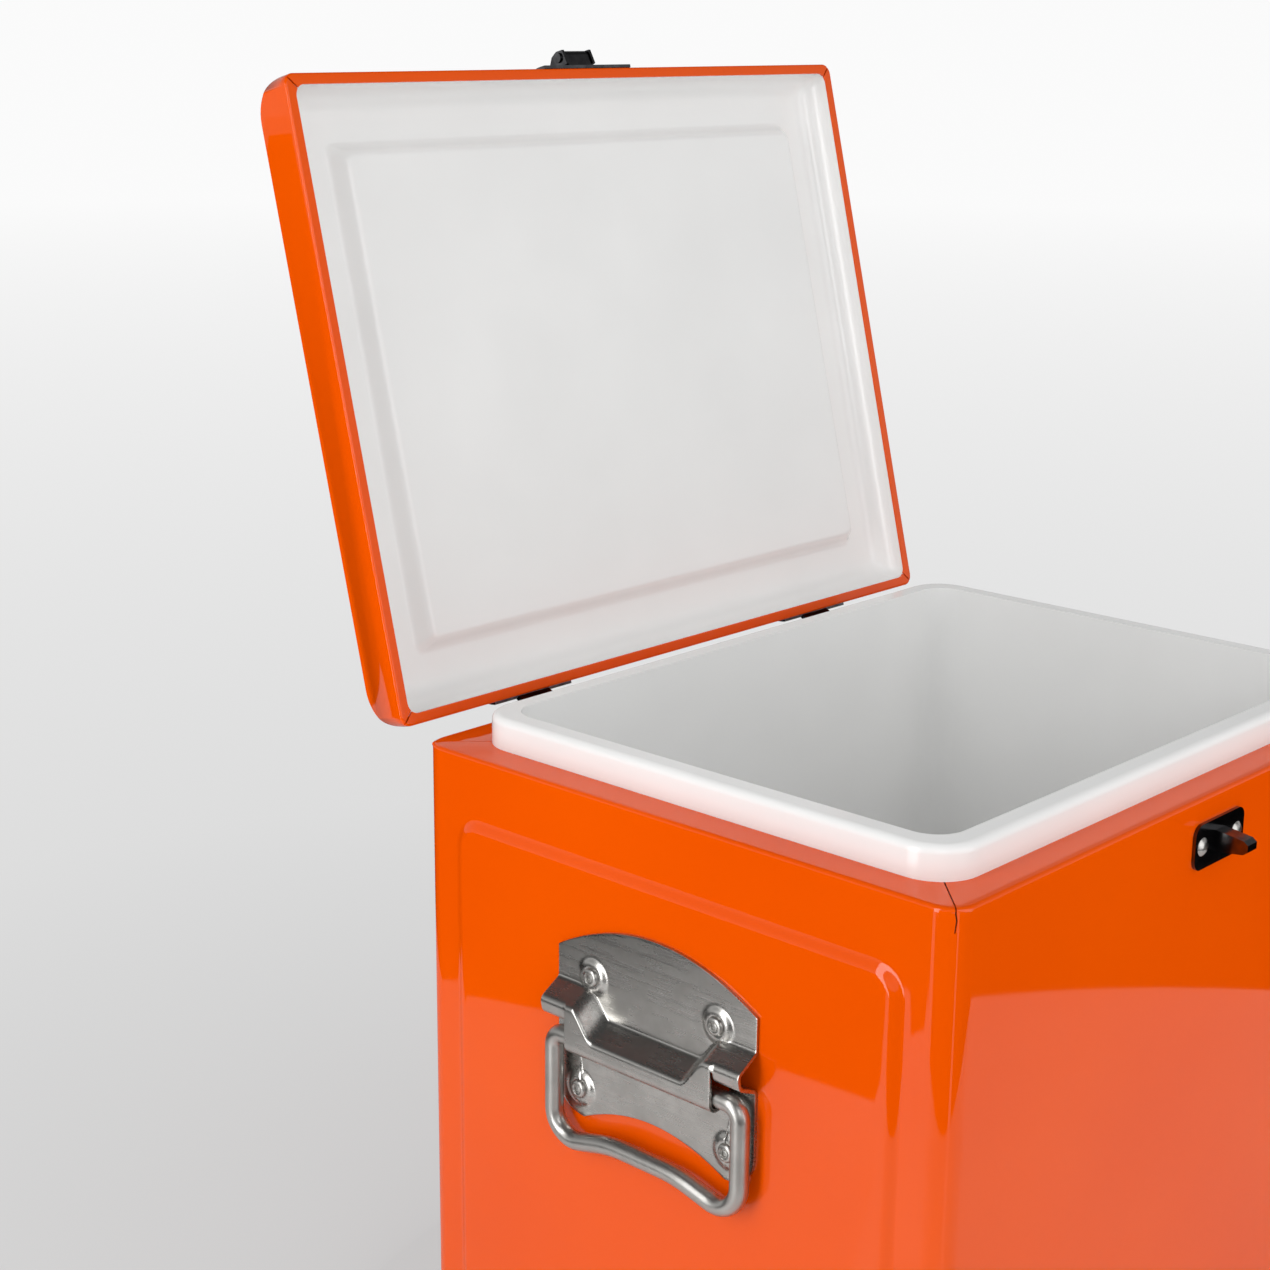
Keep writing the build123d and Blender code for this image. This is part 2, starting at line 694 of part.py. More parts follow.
def heel_corners():
    """The stop heel beside the middle knuckle, in the open lid's place."""
    reach = hinge_axis_out - leaf_thickness - seat_gap
    return [(0, -knuckle_radius + 0.4), (-reach, -crank_thickness), (-reach, 0), (0, 0)]


def make_lid_leaf(x):
    half = hinge_length / 2
    band = edge_band(leaf_thickness, 0, leaf_arc, True)
    leaf = along_x(band, x - half, x + half)
    leaf = lid_pose(leaf)
    (low, high), = knuckle_spans(True)
    y_from, z_from = on_lid_edge(leaf_thickness * 0.8, 3, True)
    web = lid_pose(along_x(crank(y_from, z_from, hinge_y, hinge_z), x + low, x + high))
    heel = make_face(Polyline(*[(hinge_y + y, hinge_z + z) for y, z in heel_corners()], close=True))
    leaf += web + along_x(heel, x + low, x + high) + bar_x(knuckle_radius, x + low, x + high, hinge_y, hinge_z)
    leaf -= bar_x(hinge_pin_radius + pin_clearance, x - half, x + half, hinge_y, hinge_z)
    for seat, direction in lid_leaf_rivets():
        leaf -= lid_pose(rivet_drill(seat, direction, 2 * leaf_thickness))
    return leaf


def make_hinge_pin(x):
    half = hinge_length / 2
    pin = bar_x(hinge_pin_radius, x - half - pin_head, x + half + pin_head, hinge_y, hinge_z)
    for side in (-1, 1):
        low = x + side * (half + pin_clearance + pin_head / 2) - pin_head / 2
        pin += bar_x(hinge_pin_radius + pin_head, low, low + pin_head, hinge_y, hinge_z)
    return pin


def make_hasp_base():
    band = edge_band(base_sheet, 0, base_high, False)
    base = along_x(band, -base_width / 2, base_width / 2)
    skirt = lid_arc_z - lid_z - seat_gap
    base += Pos(0, -lid_rear - base_sheet / 2, lid_arc_z - skirt / 2) * Box(base_width, base_sheet, skirt)
    y_root, z_root = on_lid_edge(base_sheet / 2, hasp_pin_angle, False)
    run = hasp_pin_stand + base_sheet / 2
    web = Pos((y_root + hasp_y) / 2, (z_root + hasp_z) / 2) * Rot(0, 0, 180 - hasp_pin_angle) * Rectangle(
        run, 2 * boss_radius)
    boss = along_x(web, -boss_half, boss_half) + bar_x(boss_radius, -boss_half, boss_half, hasp_y, hasp_z)
    base += boss
    base -= bar_x(hasp_pin_radius + pin_clearance, -base_width / 2, base_width / 2, hasp_y, hasp_z)
    for seat, direction in base_rivets():
        base -= rivet_drill(seat, direction, 2 * base_sheet)
    return lid_pose(base)


def make_hasp_pin():
    half = hasp_width / 2
    pin = bar_x(hasp_pin_radius, -half - pin_head, half + pin_head, hasp_y, hasp_z)
    for side in (-1, 1):
        low = side * (half + pin_clearance + pin_head / 2) - pin_head / 2
        pin += bar_x(hasp_pin_radius + pin_head, low, low + pin_head, hasp_y, hasp_z)
    return lid_pose(pin)


def hasp_strap_section():
    """Side view of the strap, latched: straight, with a lip turned out at its end."""
    y = hasp_y - hasp_offset
    top = hasp_z - hasp_strap_start
    bottom = hasp_z - hasp_length
    lip = hasp_lip
    points = [(y, top), (y, bottom + lip), (y - lip, bottom), (y - lip - hasp_sheet, bottom + hasp_sheet * 0.7),
              (y - hasp_sheet, bottom + lip + hasp_sheet * 0.5), (y - hasp_sheet, top)]
    return make_face(Polyline(*points, close=True))


def hasp_flange_section():
    """Side view of one of the two flanges that hold the hasp on its pin."""
    y = hasp_y - hasp_offset - hasp_sheet / 2
    back = hasp_y + boss_radius
    points = [(y, hasp_z + hasp_flange_back), (back - 1, hasp_z + hasp_flange_back), (back, hasp_z),
              (back - 1, hasp_z - hasp_flange_back), (y, hasp_z - hasp_flange_reach)]
    return make_face(Polyline(*points, close=True))


def make_hasp():
    half = hasp_width / 2
    hasp = along_x(hasp_strap_section(), -half, half)
    for low, high in ((-half, -half + hasp_sheet), (half - hasp_sheet, half)):
        hasp += along_x(hasp_flange_section(), low, high)
    window = hasp_window_bottom - hasp_window_top
    depth = 2 * (hasp_lip + hasp_sheet)
    hasp -= Pos(0, hasp_y - hasp_offset, keeper_level()) * Box(hasp_window_width, depth, window)
    hasp -= bar_x(hasp_pin_radius + pin_clearance, -hasp_width, hasp_width, hasp_y, hasp_z)
    return hasp_pose(hasp)


def make_keeper():
    z = keeper_level()
    plate = Pos(0, front_y - base_sheet / 2, z) * Box(keeper_width, base_sheet, keeper_height)
    plate = fillet(plate.edges().filter_by(Axis.Y), keeper_height / 4)
    nose_tip = hasp_y - hasp_offset - hasp_sheet - nose_beyond
    root = nose_height + 2
    points = [(front_y, root / 2 + 1), (nose_tip + 2, nose_height / 2), (nose_tip, nose_height / 4),
              (nose_tip, -nose_height / 4), (nose_tip + 2, -nose_height / 2), (front_y, -root / 2 - 1)]
    side = make_face(Polyline(*[(y, z + up) for y, up in points], close=True))
    keeper = plate + along_x(side, -nose_width / 2, nose_width / 2)
    for seat in keeper_rivet_seats():
        keeper -= rivet_drill(seat, (0, -1, 0), 2 * base_sheet)
    return keeper


drain_face = panel_x + drain_gasket_thickness
drain_inner = side_x - rim_inset - rim_width - liner_draft


def make_drain_gasket():
    return (bar_x(drain_flange_radius, panel_x, drain_face, 0, drain_z)
            - bar_x(drain_tube + pin_clearance, 0, drain_face, 0, drain_z))


def make_drain_spout():
    inner_end = drain_inner - drain_nut - 1
    spout = bar_x(drain_tube, inner_end, drain_face + drain_flange, 0, drain_z)
    spout += bar_x(drain_flange_radius, drain_face, drain_face + drain_flange, 0, drain_z)
    return spout - bar_x(drain_bore, 0, panel_x + side_x, 0, drain_z)


def make_drain_nut():
    outer = drain_inner
    nut = Plane(origin=(outer - drain_nut, 0, drain_z), z_dir=(1, 0, 0)) * extrude(
        RegularPolygon(drain_nut_radius, 6, major_radius=False), drain_nut)
    return nut - bar_x(drain_tube + pin_clearance, 0, side_x, 0, drain_z)


def make_drain_plug():
    seat = drain_face + drain_flange + seat_gap
    plug = bar_x(drain_bore - pin_clearance, seat - plug_length, seat, 0, drain_z)
    knob = bar_x(plug_knob_radius, seat, seat + plug_knob, 0, drain_z)
    knob = chamfer(knob.faces().sort_by(Axis.X)[-1].edges(), 1)
    for i in range(plug_grip_count):
        turn = 2 * math.pi * i / plug_grip_count
        y = plug_knob_radius * math.cos(turn)
        z = drain_z + plug_knob_radius * math.sin(turn)
        knob -= bar_x(1.2, seat + 1.5, seat + 2 * plug_knob, y, z)
    return plug + knob


def build_all():
    """Every node by name."""
    nodes = {
        "body_shell": make_body_shell(),
        "bottom_pan": make_bottom_pan(),
        "body_insulation": make_body_insulation(),
        "inner_liner": make_inner_liner(),
    }
    names = ["foot_front_left", "foot_front_right", "foot_rear_left", "foot_rear_right"]
    for name, (x, y) in zip(names, foot_places()):
        nodes[name] = make_foot(x, y)
    nodes["foot_screws"] = compound([make_foot_screw(x, y) for x, y in foot_places()])
    plate = make_handle_plate()
    bail = make_bail()
    rivets = [blind_rivet(seat, (-1, 0, 0), handle_grip) for seat in handle_rivet_seats()]
    nodes["left_handle_plate"] = plate
    nodes["left_handle_bail"] = bail
    nodes["left_handle_rivets"] = compound(rivets)
    nodes["right_handle_plate"] = mirrored(plate)
    nodes["right_handle_bail"] = mirrored(bail)
    nodes["right_handle_rivets"] = compound([mirrored(rivet) for rivet in rivets])
    for side, x in zip(("left", "right"), hinge_places()):
        nodes[f"{side}_hinge_body_leaf"] = make_body_leaf(x)
        nodes[f"{side}_hinge_lid_leaf"] = make_lid_leaf(x)
        nodes[f"{side}_hinge_pin"] = make_hinge_pin(x)
    body_seats = leaf_rivet_seats()
    nodes["hinge_body_rivets"] = compound([blind_rivet(s, (0, 1, 0), leaf_thickness + sheet) for s in body_seats])
    nodes["hinge_lid_rivets"] = compound([lid_pose(blind_rivet(s, d, leaf_thickness + sheet + curved_seat))
                                          for s, d in lid_leaf_rivets()])
    nodes["lid_shell"] = make_lid_shell()
    nodes["lid_liner"] = make_lid_liner()
    nodes["lid_insulation"] = make_lid_insulation()
    nodes["hasp_base"] = make_hasp_base()
    base_grip = base_sheet + sheet + curved_seat
    nodes["hasp_base_rivets"] = compound([lid_pose(blind_rivet(s, d, base_grip)) for s, d in base_rivets()])
    nodes["hasp_pin"] = make_hasp_pin()
    nodes["hasp"] = make_hasp()
    nodes["keeper"] = make_keeper()
    nodes["keeper_rivets"] = compound([blind_rivet(s, (0, -1, 0), base_sheet + sheet) for s in keeper_rivet_seats()])
    nodes["drain_spout"] = make_drain_spout()
    nodes["drain_gasket"] = make_drain_gasket()
    nodes["drain_nut"] = make_drain_nut()
    nodes["drain_plug"] = make_drain_plug()
    return nodes


os.makedirs("parts", exist_ok=True)
for name, shape in build_all().items():
    solids = shape.solids()
    whole = solids[0] if len(solids) == 1 else Compound(children=solids)
    export_step(whole, f"parts/{name}.step")
    print(name, len(solids), round(whole.volume))
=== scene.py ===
# %% [markdown]
# # A steel cooler with its lid open
#
# The real thing is an enamelled steel box round a white plastic liner. Its lid stands open on
# two rear hinges, and a stainless drop handle hangs on each end. The frame that is loaded here
# holds every piece at its real size, in metres, with +Z up and the front towards -Y. This
# lesson finishes those pieces, and models again the ones whose soft, pressed or moulded
# shape a plain solid can't show.

# %% Load the frame
import json
import math

import bmesh
import bpy
from mathutils import Matrix, Vector


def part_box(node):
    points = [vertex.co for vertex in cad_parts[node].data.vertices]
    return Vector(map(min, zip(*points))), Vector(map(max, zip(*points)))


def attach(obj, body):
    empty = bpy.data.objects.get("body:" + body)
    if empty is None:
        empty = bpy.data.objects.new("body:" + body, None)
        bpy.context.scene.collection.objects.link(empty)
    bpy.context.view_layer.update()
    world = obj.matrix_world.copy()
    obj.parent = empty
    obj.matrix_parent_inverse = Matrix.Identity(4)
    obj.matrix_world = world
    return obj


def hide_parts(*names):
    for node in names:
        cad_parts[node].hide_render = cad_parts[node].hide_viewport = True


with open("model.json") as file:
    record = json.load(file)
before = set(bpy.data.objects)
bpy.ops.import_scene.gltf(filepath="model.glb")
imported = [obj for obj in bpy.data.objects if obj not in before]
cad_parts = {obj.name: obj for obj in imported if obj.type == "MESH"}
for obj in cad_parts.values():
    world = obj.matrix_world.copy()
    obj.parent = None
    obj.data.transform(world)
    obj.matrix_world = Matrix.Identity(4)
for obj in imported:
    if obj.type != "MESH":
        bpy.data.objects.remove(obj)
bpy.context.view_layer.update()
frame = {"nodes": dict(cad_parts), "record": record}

nodes = frame["nodes"]

# %% [markdown]
# The camera comes first, because every later choice is compared through it. It stands to the
# front and left of the cooler, a little above it, as the photographer's did. A camera looks
# down its own -Z, so its turn comes from the direction back towards it, and a small roll about
# that same line levels the picture as it was taken.

# %% Camera
camera_place = Vector((-0.8250, -0.5748, 0.6641))
camera_azimuth = math.radians(-47.20)
camera_elevation = math.radians(15.21)
camera_roll = math.radians(0.50)
sensor_width = 36.0
camera_lens = 64.82

towards_camera = Vector((math.sin(camera_azimuth) * math.cos(camera_elevation),
                         -math.cos(camera_azimuth) * math.cos(camera_elevation),
                         math.sin(camera_elevation)))
bpy.ops.object.camera_add(location=camera_place)
camera = bpy.context.object
camera.rotation_mode = "QUATERNION"
level = (-towards_camera).to_track_quat("-Z", "Y")
camera.rotation_quaternion = level @ Matrix.Rotation(camera_roll, 3, "Z").to_quaternion()
camera.data.sensor_width = sensor_width
camera.data.lens = camera_lens
bpy.context.scene.camera = camera
print("camera looks along", [round(v, 3) for v in -towards_camera])

# %% [markdown]
# A shader is arithmetic on sockets. Wrapping a socket in a small class lets that arithmetic be
# written as plain expressions, where `1 - mask * 0.4` adds its own Math nodes. Any other kind
# of node is added by one method, which sets the node's options first and its inputs after. The
# Mix node has sockets for each type of value, so the ones for colours are told by their number.

# %% Shader expressions
mm = 0.001
mix_inputs_for_colour = (0, 6, 7)
mix_result_for_colour = 2


class Val:
    """A node socket that can be used in arithmetic."""

    def __init__(self, tree, socket):
        self.tree = tree
        self.socket = socket

    def math(self, operation, *others):
        """Adds a Math node that takes this value first."""
        node = self.tree.nodes.new("ShaderNodeMath")
        node.operation = operation
        for slot, value in zip(node.inputs, (self, *others)):
            plug(self.tree, slot, value)
        return Val(self.tree, node.outputs[0])

    def __add__(self, other):
        return self.math("ADD", other)

    def __mul__(self, other):
        return self.math("MULTIPLY", other)

    def __sub__(self, other):
        return self.math("SUBTRACT", other)

    def __rsub__(self, other):
        return (self * -1) + other

    __radd__ = __add__
    __rmul__ = __mul__


def plug(tree, slot, value):
    """Links a socket or sets a plain value on an input."""
    if isinstance(value, Val):
        tree.links.new(value.socket, slot)
    else:
        slot.default_value = value


class Paint:
    """One material, with methods that add nodes to it."""

    def __init__(self, name, **constants):
        self.material = bpy.data.materials.new(name)
        self.material.use_nodes = True
        self.tree = self.material.node_tree
        self.shader = self.tree.nodes["Principled BSDF"]
        for socket, value in constants.items():
            self.shader.inputs[socket.replace("_", " ")].default_value = value

    def node(self, kind, settings=None, output=0, **inputs):
        """Adds a node: its settings first, then its inputs by name."""
        node = self.tree.nodes.new(kind)
        for key, value in (settings or {}).items():
            setattr(node, key, value)
        for name, value in inputs.items():
            plug(self.tree, node.inputs[name.replace("_", " ")], value)
        return Val(self.tree, node.outputs[output])

    def place(self, scale=(1, 1, 1)):
        """Object coordinates in metres, stretched by scale."""
        spot = self.node("ShaderNodeTexCoord", output="Object")
        return self.node("ShaderNodeMapping", Vector=spot, Scale=scale)

    def noise(self, scale, detail=2.0, roughness=0.5, stretch=(1, 1, 1)):
        """Cloudy values from 0 to 1."""
        return self.node("ShaderNodeTexNoise", Vector=self.place(stretch), Scale=scale, Detail=detail,
                         Roughness=roughness)

    def spread(self, value, low, high, to_low=0.0, to_high=1.0):
        """Maps a value between two limits to two others."""
        return self.node("ShaderNodeMapRange", {"clamp": True}, **{
            "Value": value, "From Min": low, "From Max": high, "To Min": to_low, "To Max": to_high})

    def blend(self, share, first, second):
        """A colour between two colours."""
        node = self.tree.nodes.new("ShaderNodeMix")
        node.data_type = "RGBA"
        for slot, value in zip(mix_inputs_for_colour, (share, first, second)):
            plug(self.tree, node.inputs[slot], value)
        return Val(self.tree, node.outputs[mix_result_for_colour])

    def axis(self, name):
        """One of the object coordinates, in metres."""
        spot = self.node("ShaderNodeTexCoord", output="Object")
        return self.node("ShaderNodeSeparateXYZ", output=name, Vector=spot)

    def bump(self, height, strength, distance):
        """A small relief that bends the reflections only."""
        return self.node("ShaderNodeBump", Height=height, Strength=strength, Distance=distance)

    def feed(self, **links):
        """Connects what varies over the surface to the shader's own inputs."""
        for socket, value in links.items():
            plug(self.tree, self.shader.inputs[socket.replace("_", " ")], value)
        return self.material


def colour(red, green, blue):
    """A colour given as it shows on screen, from 0 to 255, in the renderer's linear scale."""
    def linear(level):
        """The standard curve of a screen, undone."""
        share = level / 255
        return share / 12.92 if share <= 0.04045 else ((share + 0.055) / 1.055) ** 2.4
    return (linear(red), linear(green), linear(blue), 1.0)


print("middle grey is", round(colour(128, 128, 128)[0], 3))

# %% [markdown]
# Enamel on sheet steel is a colour under a clear gloss. Sprayed paint is never quite flat, so
# a faint, wide ripple bends its reflections, and a very small change of shade keeps large
# faces alive. The gloss comes from the shader's coat.

# %% Orange enamel
def make_enamel(name):
    """Sprayed orange enamel under a clear gloss."""
    paint = Paint(name, Roughness=0.6, Specular_IOR_Level=0.0, Coat_Roughness=0.035, Coat_IOR=1.5)
    cloud = paint.noise(scale=9.0, detail=2.0)
    fine = paint.noise(scale=160.0, detail=1.0)
    shade = paint.blend(paint.spread(cloud, 0.3, 0.7), colour(238, 86, 0), colour(234, 82, 0))
    ripple = cloud * 0.7 + fine * 0.05
    return paint.feed(Base_Color=shade, Coat_Weight=paint.spread(fine, 0.0, 1.0, 0.75, 0.85),
                      Normal=paint.bump(ripple, strength=0.12, distance=0.6 * mm))


enamel = make_enamel("orange_enamel")
print("made", enamel.name)

# %% [markdown]
# The liner is thick moulded plastic: white, a little soft in its shine, with the faint
# waviness that a moulding keeps as it cools.

# %% White moulded plastic
def make_liner_plastic(name, white):
    """Moulded plastic of one white, with soft waves."""
    paint = Paint(name, IOR=1.46)
    cloud = paint.noise(scale=14.0, detail=2.0)
    grain = paint.noise(scale=900.0, detail=2.0)
    tone = paint.blend(paint.spread(cloud, 0.3, 0.7), white, colour(242, 242, 241))
    waves = cloud * 0.9 + grain * 0.02
    return paint.feed(Base_Color=tone, Roughness=paint.spread(grain, 0.3, 0.7, 0.13, 0.19),
                      Normal=paint.bump(waves, strength=0.1, distance=0.8 * mm))


liner_white = make_liner_plastic("liner_white", colour(246, 246, 245))
drain_white = make_liner_plastic("drain_white", colour(222, 222, 218))
print("made", liner_white.name, drain_white.name)

# %% [markdown]
# Stainless sheet keeps the fine lines of the rolling mill, and a tumbled wire has soft clouds
# in place of lines. Both are metal all through, so only roughness, shade and a shallow bump
# tell them apart.

# %% Stainless steel, sheet and wire
def make_stainless(name, stretch, lines, smoothest):
    """Bare stainless: how its grain is stretched, how deep its lines are, and its best shine."""
    paint = Paint(name, Metallic=1.0)
    grain = paint.noise(scale=420.0, detail=3.0, roughness=0.6, stretch=stretch)
    cloud = paint.noise(scale=60.0, detail=3.0, roughness=0.6)
    tone = paint.blend(paint.spread(cloud, 0.25, 0.75), colour(196, 194, 190), colour(172, 170, 166))
    rough = (paint.spread(grain, 0.2, 0.8, smoothest, smoothest + 0.1)
             + paint.spread(cloud, 0.3, 0.7, 0.0, 0.06))
    return paint.feed(Base_Color=tone, Roughness=rough,
                      Normal=paint.bump(grain, strength=lines, distance=0.15 * mm))


steel_sheet = make_stainless("stainless_sheet", stretch=(1, 0.06, 1), lines=0.25, smoothest=0.2)
steel_wire = make_stainless("stainless_wire", stretch=(1, 1, 1), lines=0.03, smoothest=0.26)
print("made", steel_sheet.name, steel_wire.name)

# %% [markdown]
# The latch and hinges are plated dark and bright, and the plating is a little mottled. The base
# pan is plain zinc and the feet are matt rubber. The foam fills the walls and shows only in the
# gaps of the mitres. Its tan is the foam's aged tan painted darker still, as painted shade, so the gaps read
# as a dark line.

# %% Dark plating, zinc, rubber and foam
def make_dark_chrome(name):
    """Dark plating with a soft mottle in its shine."""
    paint = Paint(name, Metallic=1.0)
    mottle = paint.noise(scale=240.0, detail=3.0)
    tone = paint.blend(paint.spread(mottle, 0.3, 0.7), colour(112, 112, 114), colour(84, 84, 87))
    return paint.feed(Base_Color=tone, Roughness=paint.spread(mottle, 0.2, 0.8, 0.12, 0.24),
                      Normal=paint.bump(mottle, strength=0.08, distance=0.1 * mm))


def make_zinc(name):
    """Zinc with the flake pattern of a dipped sheet."""
    paint = Paint(name, Metallic=1.0)
    spangle = paint.node("ShaderNodeTexVoronoi", output="Distance", Vector=paint.place(), Scale=90.0)
    tone = paint.blend(spangle, colour(176, 180, 184), colour(204, 207, 210))
    return paint.feed(Base_Color=tone, Roughness=paint.spread(spangle, 0.0, 1.0, 0.35, 0.5))


def make_matt(name, light, dark, grain_scale):
    """A dull, fine-grained stuff between two shades."""
    paint = Paint(name)
    grain = paint.noise(scale=grain_scale, detail=3.0)
    tone = paint.blend(paint.spread(grain, 0.3, 0.7), light, dark)
    return paint.feed(Base_Color=tone, Roughness=paint.spread(grain, 0.2, 0.8, 0.65, 0.85),
                      Normal=paint.bump(grain, strength=0.3, distance=0.3 * mm))


dark_chrome = make_dark_chrome("dark_chrome")
zinc = make_zinc("zinc_plate")
rubber = make_matt("black_rubber", colour(46, 46, 46), colour(34, 34, 34), grain_scale=700.0)
# Aged foam tan, painted darker than its own as painted shade in the mitre gaps and slits.
foam = make_matt("foam_fill_painted_gap_shade", colour(104, 84, 52), colour(92, 72, 44), grain_scale=500.0)
print("made", dark_chrome.name, zinc.name, rubber.name, foam.name)

# %% [markdown]
# Every node of the frame takes its finish from its material slot in the record. The wire
# bails share the plates' slot but not their grain, so they get theirs afterwards, by name.

# %% Give each node its finish
finish_of_slot = {"orange_paint": enamel, "white_plastic": liner_white, "stainless": steel_sheet,
                  "dark_chrome": dark_chrome, "zinc_steel": zinc, "black_rubber": rubber,
                  "drain_plastic": drain_white, "foam": foam}


def dress(piece, material):
    """Gives a piece one material in place of what it had."""
    piece.data.materials.clear()
    piece.data.materials.append(material)


for row in frame["record"]["subparts"]:
    dress(nodes[row["node"]], finish_of_slot[row["material_slot"]])
for name in ("left_handle_bail", "right_handle_bail"):
    dress(nodes[name], steel_wire)

# %% [markdown]
# Every new piece starts from a primitive that is opened for editing with nothing else
# selected, because an operator acts on all that is selected. Faces and edges are then picked
# in code by a test of their place, the way a hand would click them. A modifier is applied as
# soon as it is set, and the last step names the piece, finishes it and says which body of the
# frame carries it. Places closer than a hundredth of a millimetre count as one, a normal is
# along an axis when all but a hundredth of it is, and a face from 0.05 square metres up is a
# whole side of the cabinet or of the lid.

# %% Modelling helpers
same_place = 0.01 * mm
along_axis = 0.99
large_face = 0.05


def begin(add, **settings):
    """Adds a primitive, alone, with its place in its mesh, and opens it for editing."""
    bpy.ops.object.select_all(action="DESELECT")
    add(**settings)
    bpy.ops.object.transform_apply(location=True, rotation=True, scale=True)
    bpy.ops.object.mode_set(mode="EDIT")
    bpy.ops.mesh.select_all(action="DESELECT")
    return bpy.context.object


def middle(item):
    """The middle of an edge or a face of a mesh."""
    return sum((v.co for v in item.verts), Vector()) / len(item.verts)


def pick(piece, kind, test):
    """Selects in edit mode the edges or faces that pass a test."""
    bpy.ops.mesh.select_mode(type=kind)
    bpy.ops.mesh.select_all(action="DESELECT")
    mesh = bmesh.from_edit_mesh(piece.data)
    items = {"EDGE": mesh.edges, "FACE": mesh.faces}[kind]
    found = [item for item in items if test(item)]
    for item in found:
        item.select_set(True)
    bmesh.update_edit_mesh(piece.data)
    return len(found)


def faces_now(piece):
    """How many faces a piece has while it is being edited."""
    return len(bmesh.from_edit_mesh(piece.data).faces)


def modify(piece, kind, **settings):
    """Adds a modifier to the piece and applies it."""
    if piece.mode == "EDIT":
        bpy.ops.object.mode_set(mode="OBJECT")
    modifier = piece.modifiers.new(kind, kind)
    for key, value in settings.items():
        setattr(modifier, key, value)
    bpy.ops.object.modifier_apply(modifier=modifier.name)


def settle(piece, name, material, body, replaced, smooth):
    """Names a piece, finishes it and hands it to its body in place of a CAD node."""
    if piece.mode == "EDIT":
        bpy.ops.object.mode_set(mode="OBJECT")
    piece.name = name
    piece.data.name = name
    dress(piece, material)
    bpy.ops.object.select_all(action="DESELECT")
    piece.select_set(True)
    bpy.context.view_layer.objects.active = piece
    bpy.ops.object.shade_smooth_by_angle(angle=math.radians(smooth))
    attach(piece, body)
    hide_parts(replaced)
    print("made", name, len(piece.data.polygons), "faces")


def ease(share):
    """A smooth step from 0 to 1."""
    share = min(1.0, max(0.0, share))
    return share * share * (3 - 2 * share)


print("helpers ready")

# %% [markdown]
# The cabinet is one folded steel sheet. Its top edge is folded in to a flat flange, its long
# corners are round, and a soft panel is pressed out of each end. A block gets round corners
# from a bevel, and each panel grows from its side face by small insets that also lift it, so
# that its edge is a smooth swell. A plain extrusion would have a hard edge, which pressed
# sheet never has.

# %% Cabinet skin, its block and pressed panels
wall_corner = 11 * mm
panel_rise = 2.5 * mm
panel_margin = Vector((0, 21.0, 27.0)) * mm
panel_corner = 15 * mm
panel_slope = 6.5 * mm
slope_steps = 10
flange_bend = 1.8 * mm

shell_low, shell_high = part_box("body_shell")
side = shell_high.x - panel_rise
depth_half = shell_high.y
skin_top = shell_high.z
fold_level = skin_top - flange_bend
skin_middle = Vector((0, 0, (skin_top + shell_low.z) / 2))
skin = begin(bpy.ops.mesh.primitive_cube_add, size=1,
             scale=(2 * side, 2 * depth_half, fold_level - shell_low.z),
             location=(0, 0, (fold_level + shell_low.z) / 2))
pick(skin, "EDGE", lambda e: abs(e.verts[0].co.z - e.verts[1].co.z) > wall_corner)
bpy.ops.mesh.bevel(offset=wall_corner, segments=12, affect="EDGES", profile=0.5)


def press_panel(piece, sign):
    """Presses one end's panel out of its flat face."""
    pick(piece, "FACE", lambda f: middle(f).x * sign > side - same_place)
    bpy.ops.mesh.delete(type="ONLY_FACE")
    place = skin_middle + Vector((sign * side, 0, 0))
    bpy.ops.mesh.primitive_plane_add(size=1, location=place, rotation=(0, sign * math.pi / 2, 0))
    panel_deep = 2 * (depth_half - panel_margin.y)
    panel_high = skin_top - shell_low.z - 2 * panel_margin.z
    bpy.ops.transform.resize(value=(1, panel_deep, panel_high), center_override=place)
    bpy.ops.mesh.bevel(offset=panel_corner, segments=8, affect="VERTICES", profile=0.5)
    pick(piece, "EDGE", lambda e: e.is_boundary
         and all(abs(v.co.x - sign * side) < same_place for v in e.verts))
    bpy.ops.mesh.fill(use_beauty=True)
    pick(piece, "FACE", lambda f: middle(f).x * sign > side - same_place and f.calc_area() > large_face)
    for step in range(slope_steps):
        lift = ease((step + 1) / slope_steps) - ease(step / slope_steps)
        bpy.ops.mesh.inset(thickness=panel_slope / slope_steps, depth=lift * panel_rise)


for sign in (-1, 1):
    press_panel(skin, sign)
print("block with panels", faces_now(skin), "faces")

# %% [markdown]
# The fold at the top is a small round bend. At the corners the sheet can't fold both ways at
# once, so the maker slits it: the two flanges meet in a mitre, almost square, above the round
# corner, and a small slit shows below. The bend is the top face extruded in short steps round
# a quarter circle. The square corner comes from pushing the bend's corner points towards the
# square, more the higher they lie.

# %% Cabinet skin, its fold, flange and square corners
flange_width = 23.5 * mm
squareness = 0.35
bend_steps = 5
outline = Vector((side, depth_half))


def half_size(inset):
    """Half the cabinet's width and depth, less an inset all round."""
    return outline - Vector((inset, inset))


def grow_top(level_change, half_before, half_after):
    """Extrudes the selected top face up and in, from one half size to another."""
    bpy.ops.mesh.extrude_region()
    bpy.ops.transform.translate(value=(0, 0, level_change))
    bpy.ops.transform.resize(value=(half_after.x / half_before.x, half_after.y / half_before.y, 1),
                             center_override=(0, 0, skin_top))


pick(skin, "FACE", lambda f: f.normal.z > along_axis and f.calc_area() > large_face)
rise_before, inset_before = 0.0, 0.0
for step in range(1, bend_steps + 1):
    turn = math.pi / 2 * step / bend_steps
    rise, inset = flange_bend * math.sin(turn), flange_bend * (1 - math.cos(turn))
    grow_top(rise - rise_before, half_size(inset_before), half_size(inset))
    rise_before, inset_before = rise, inset

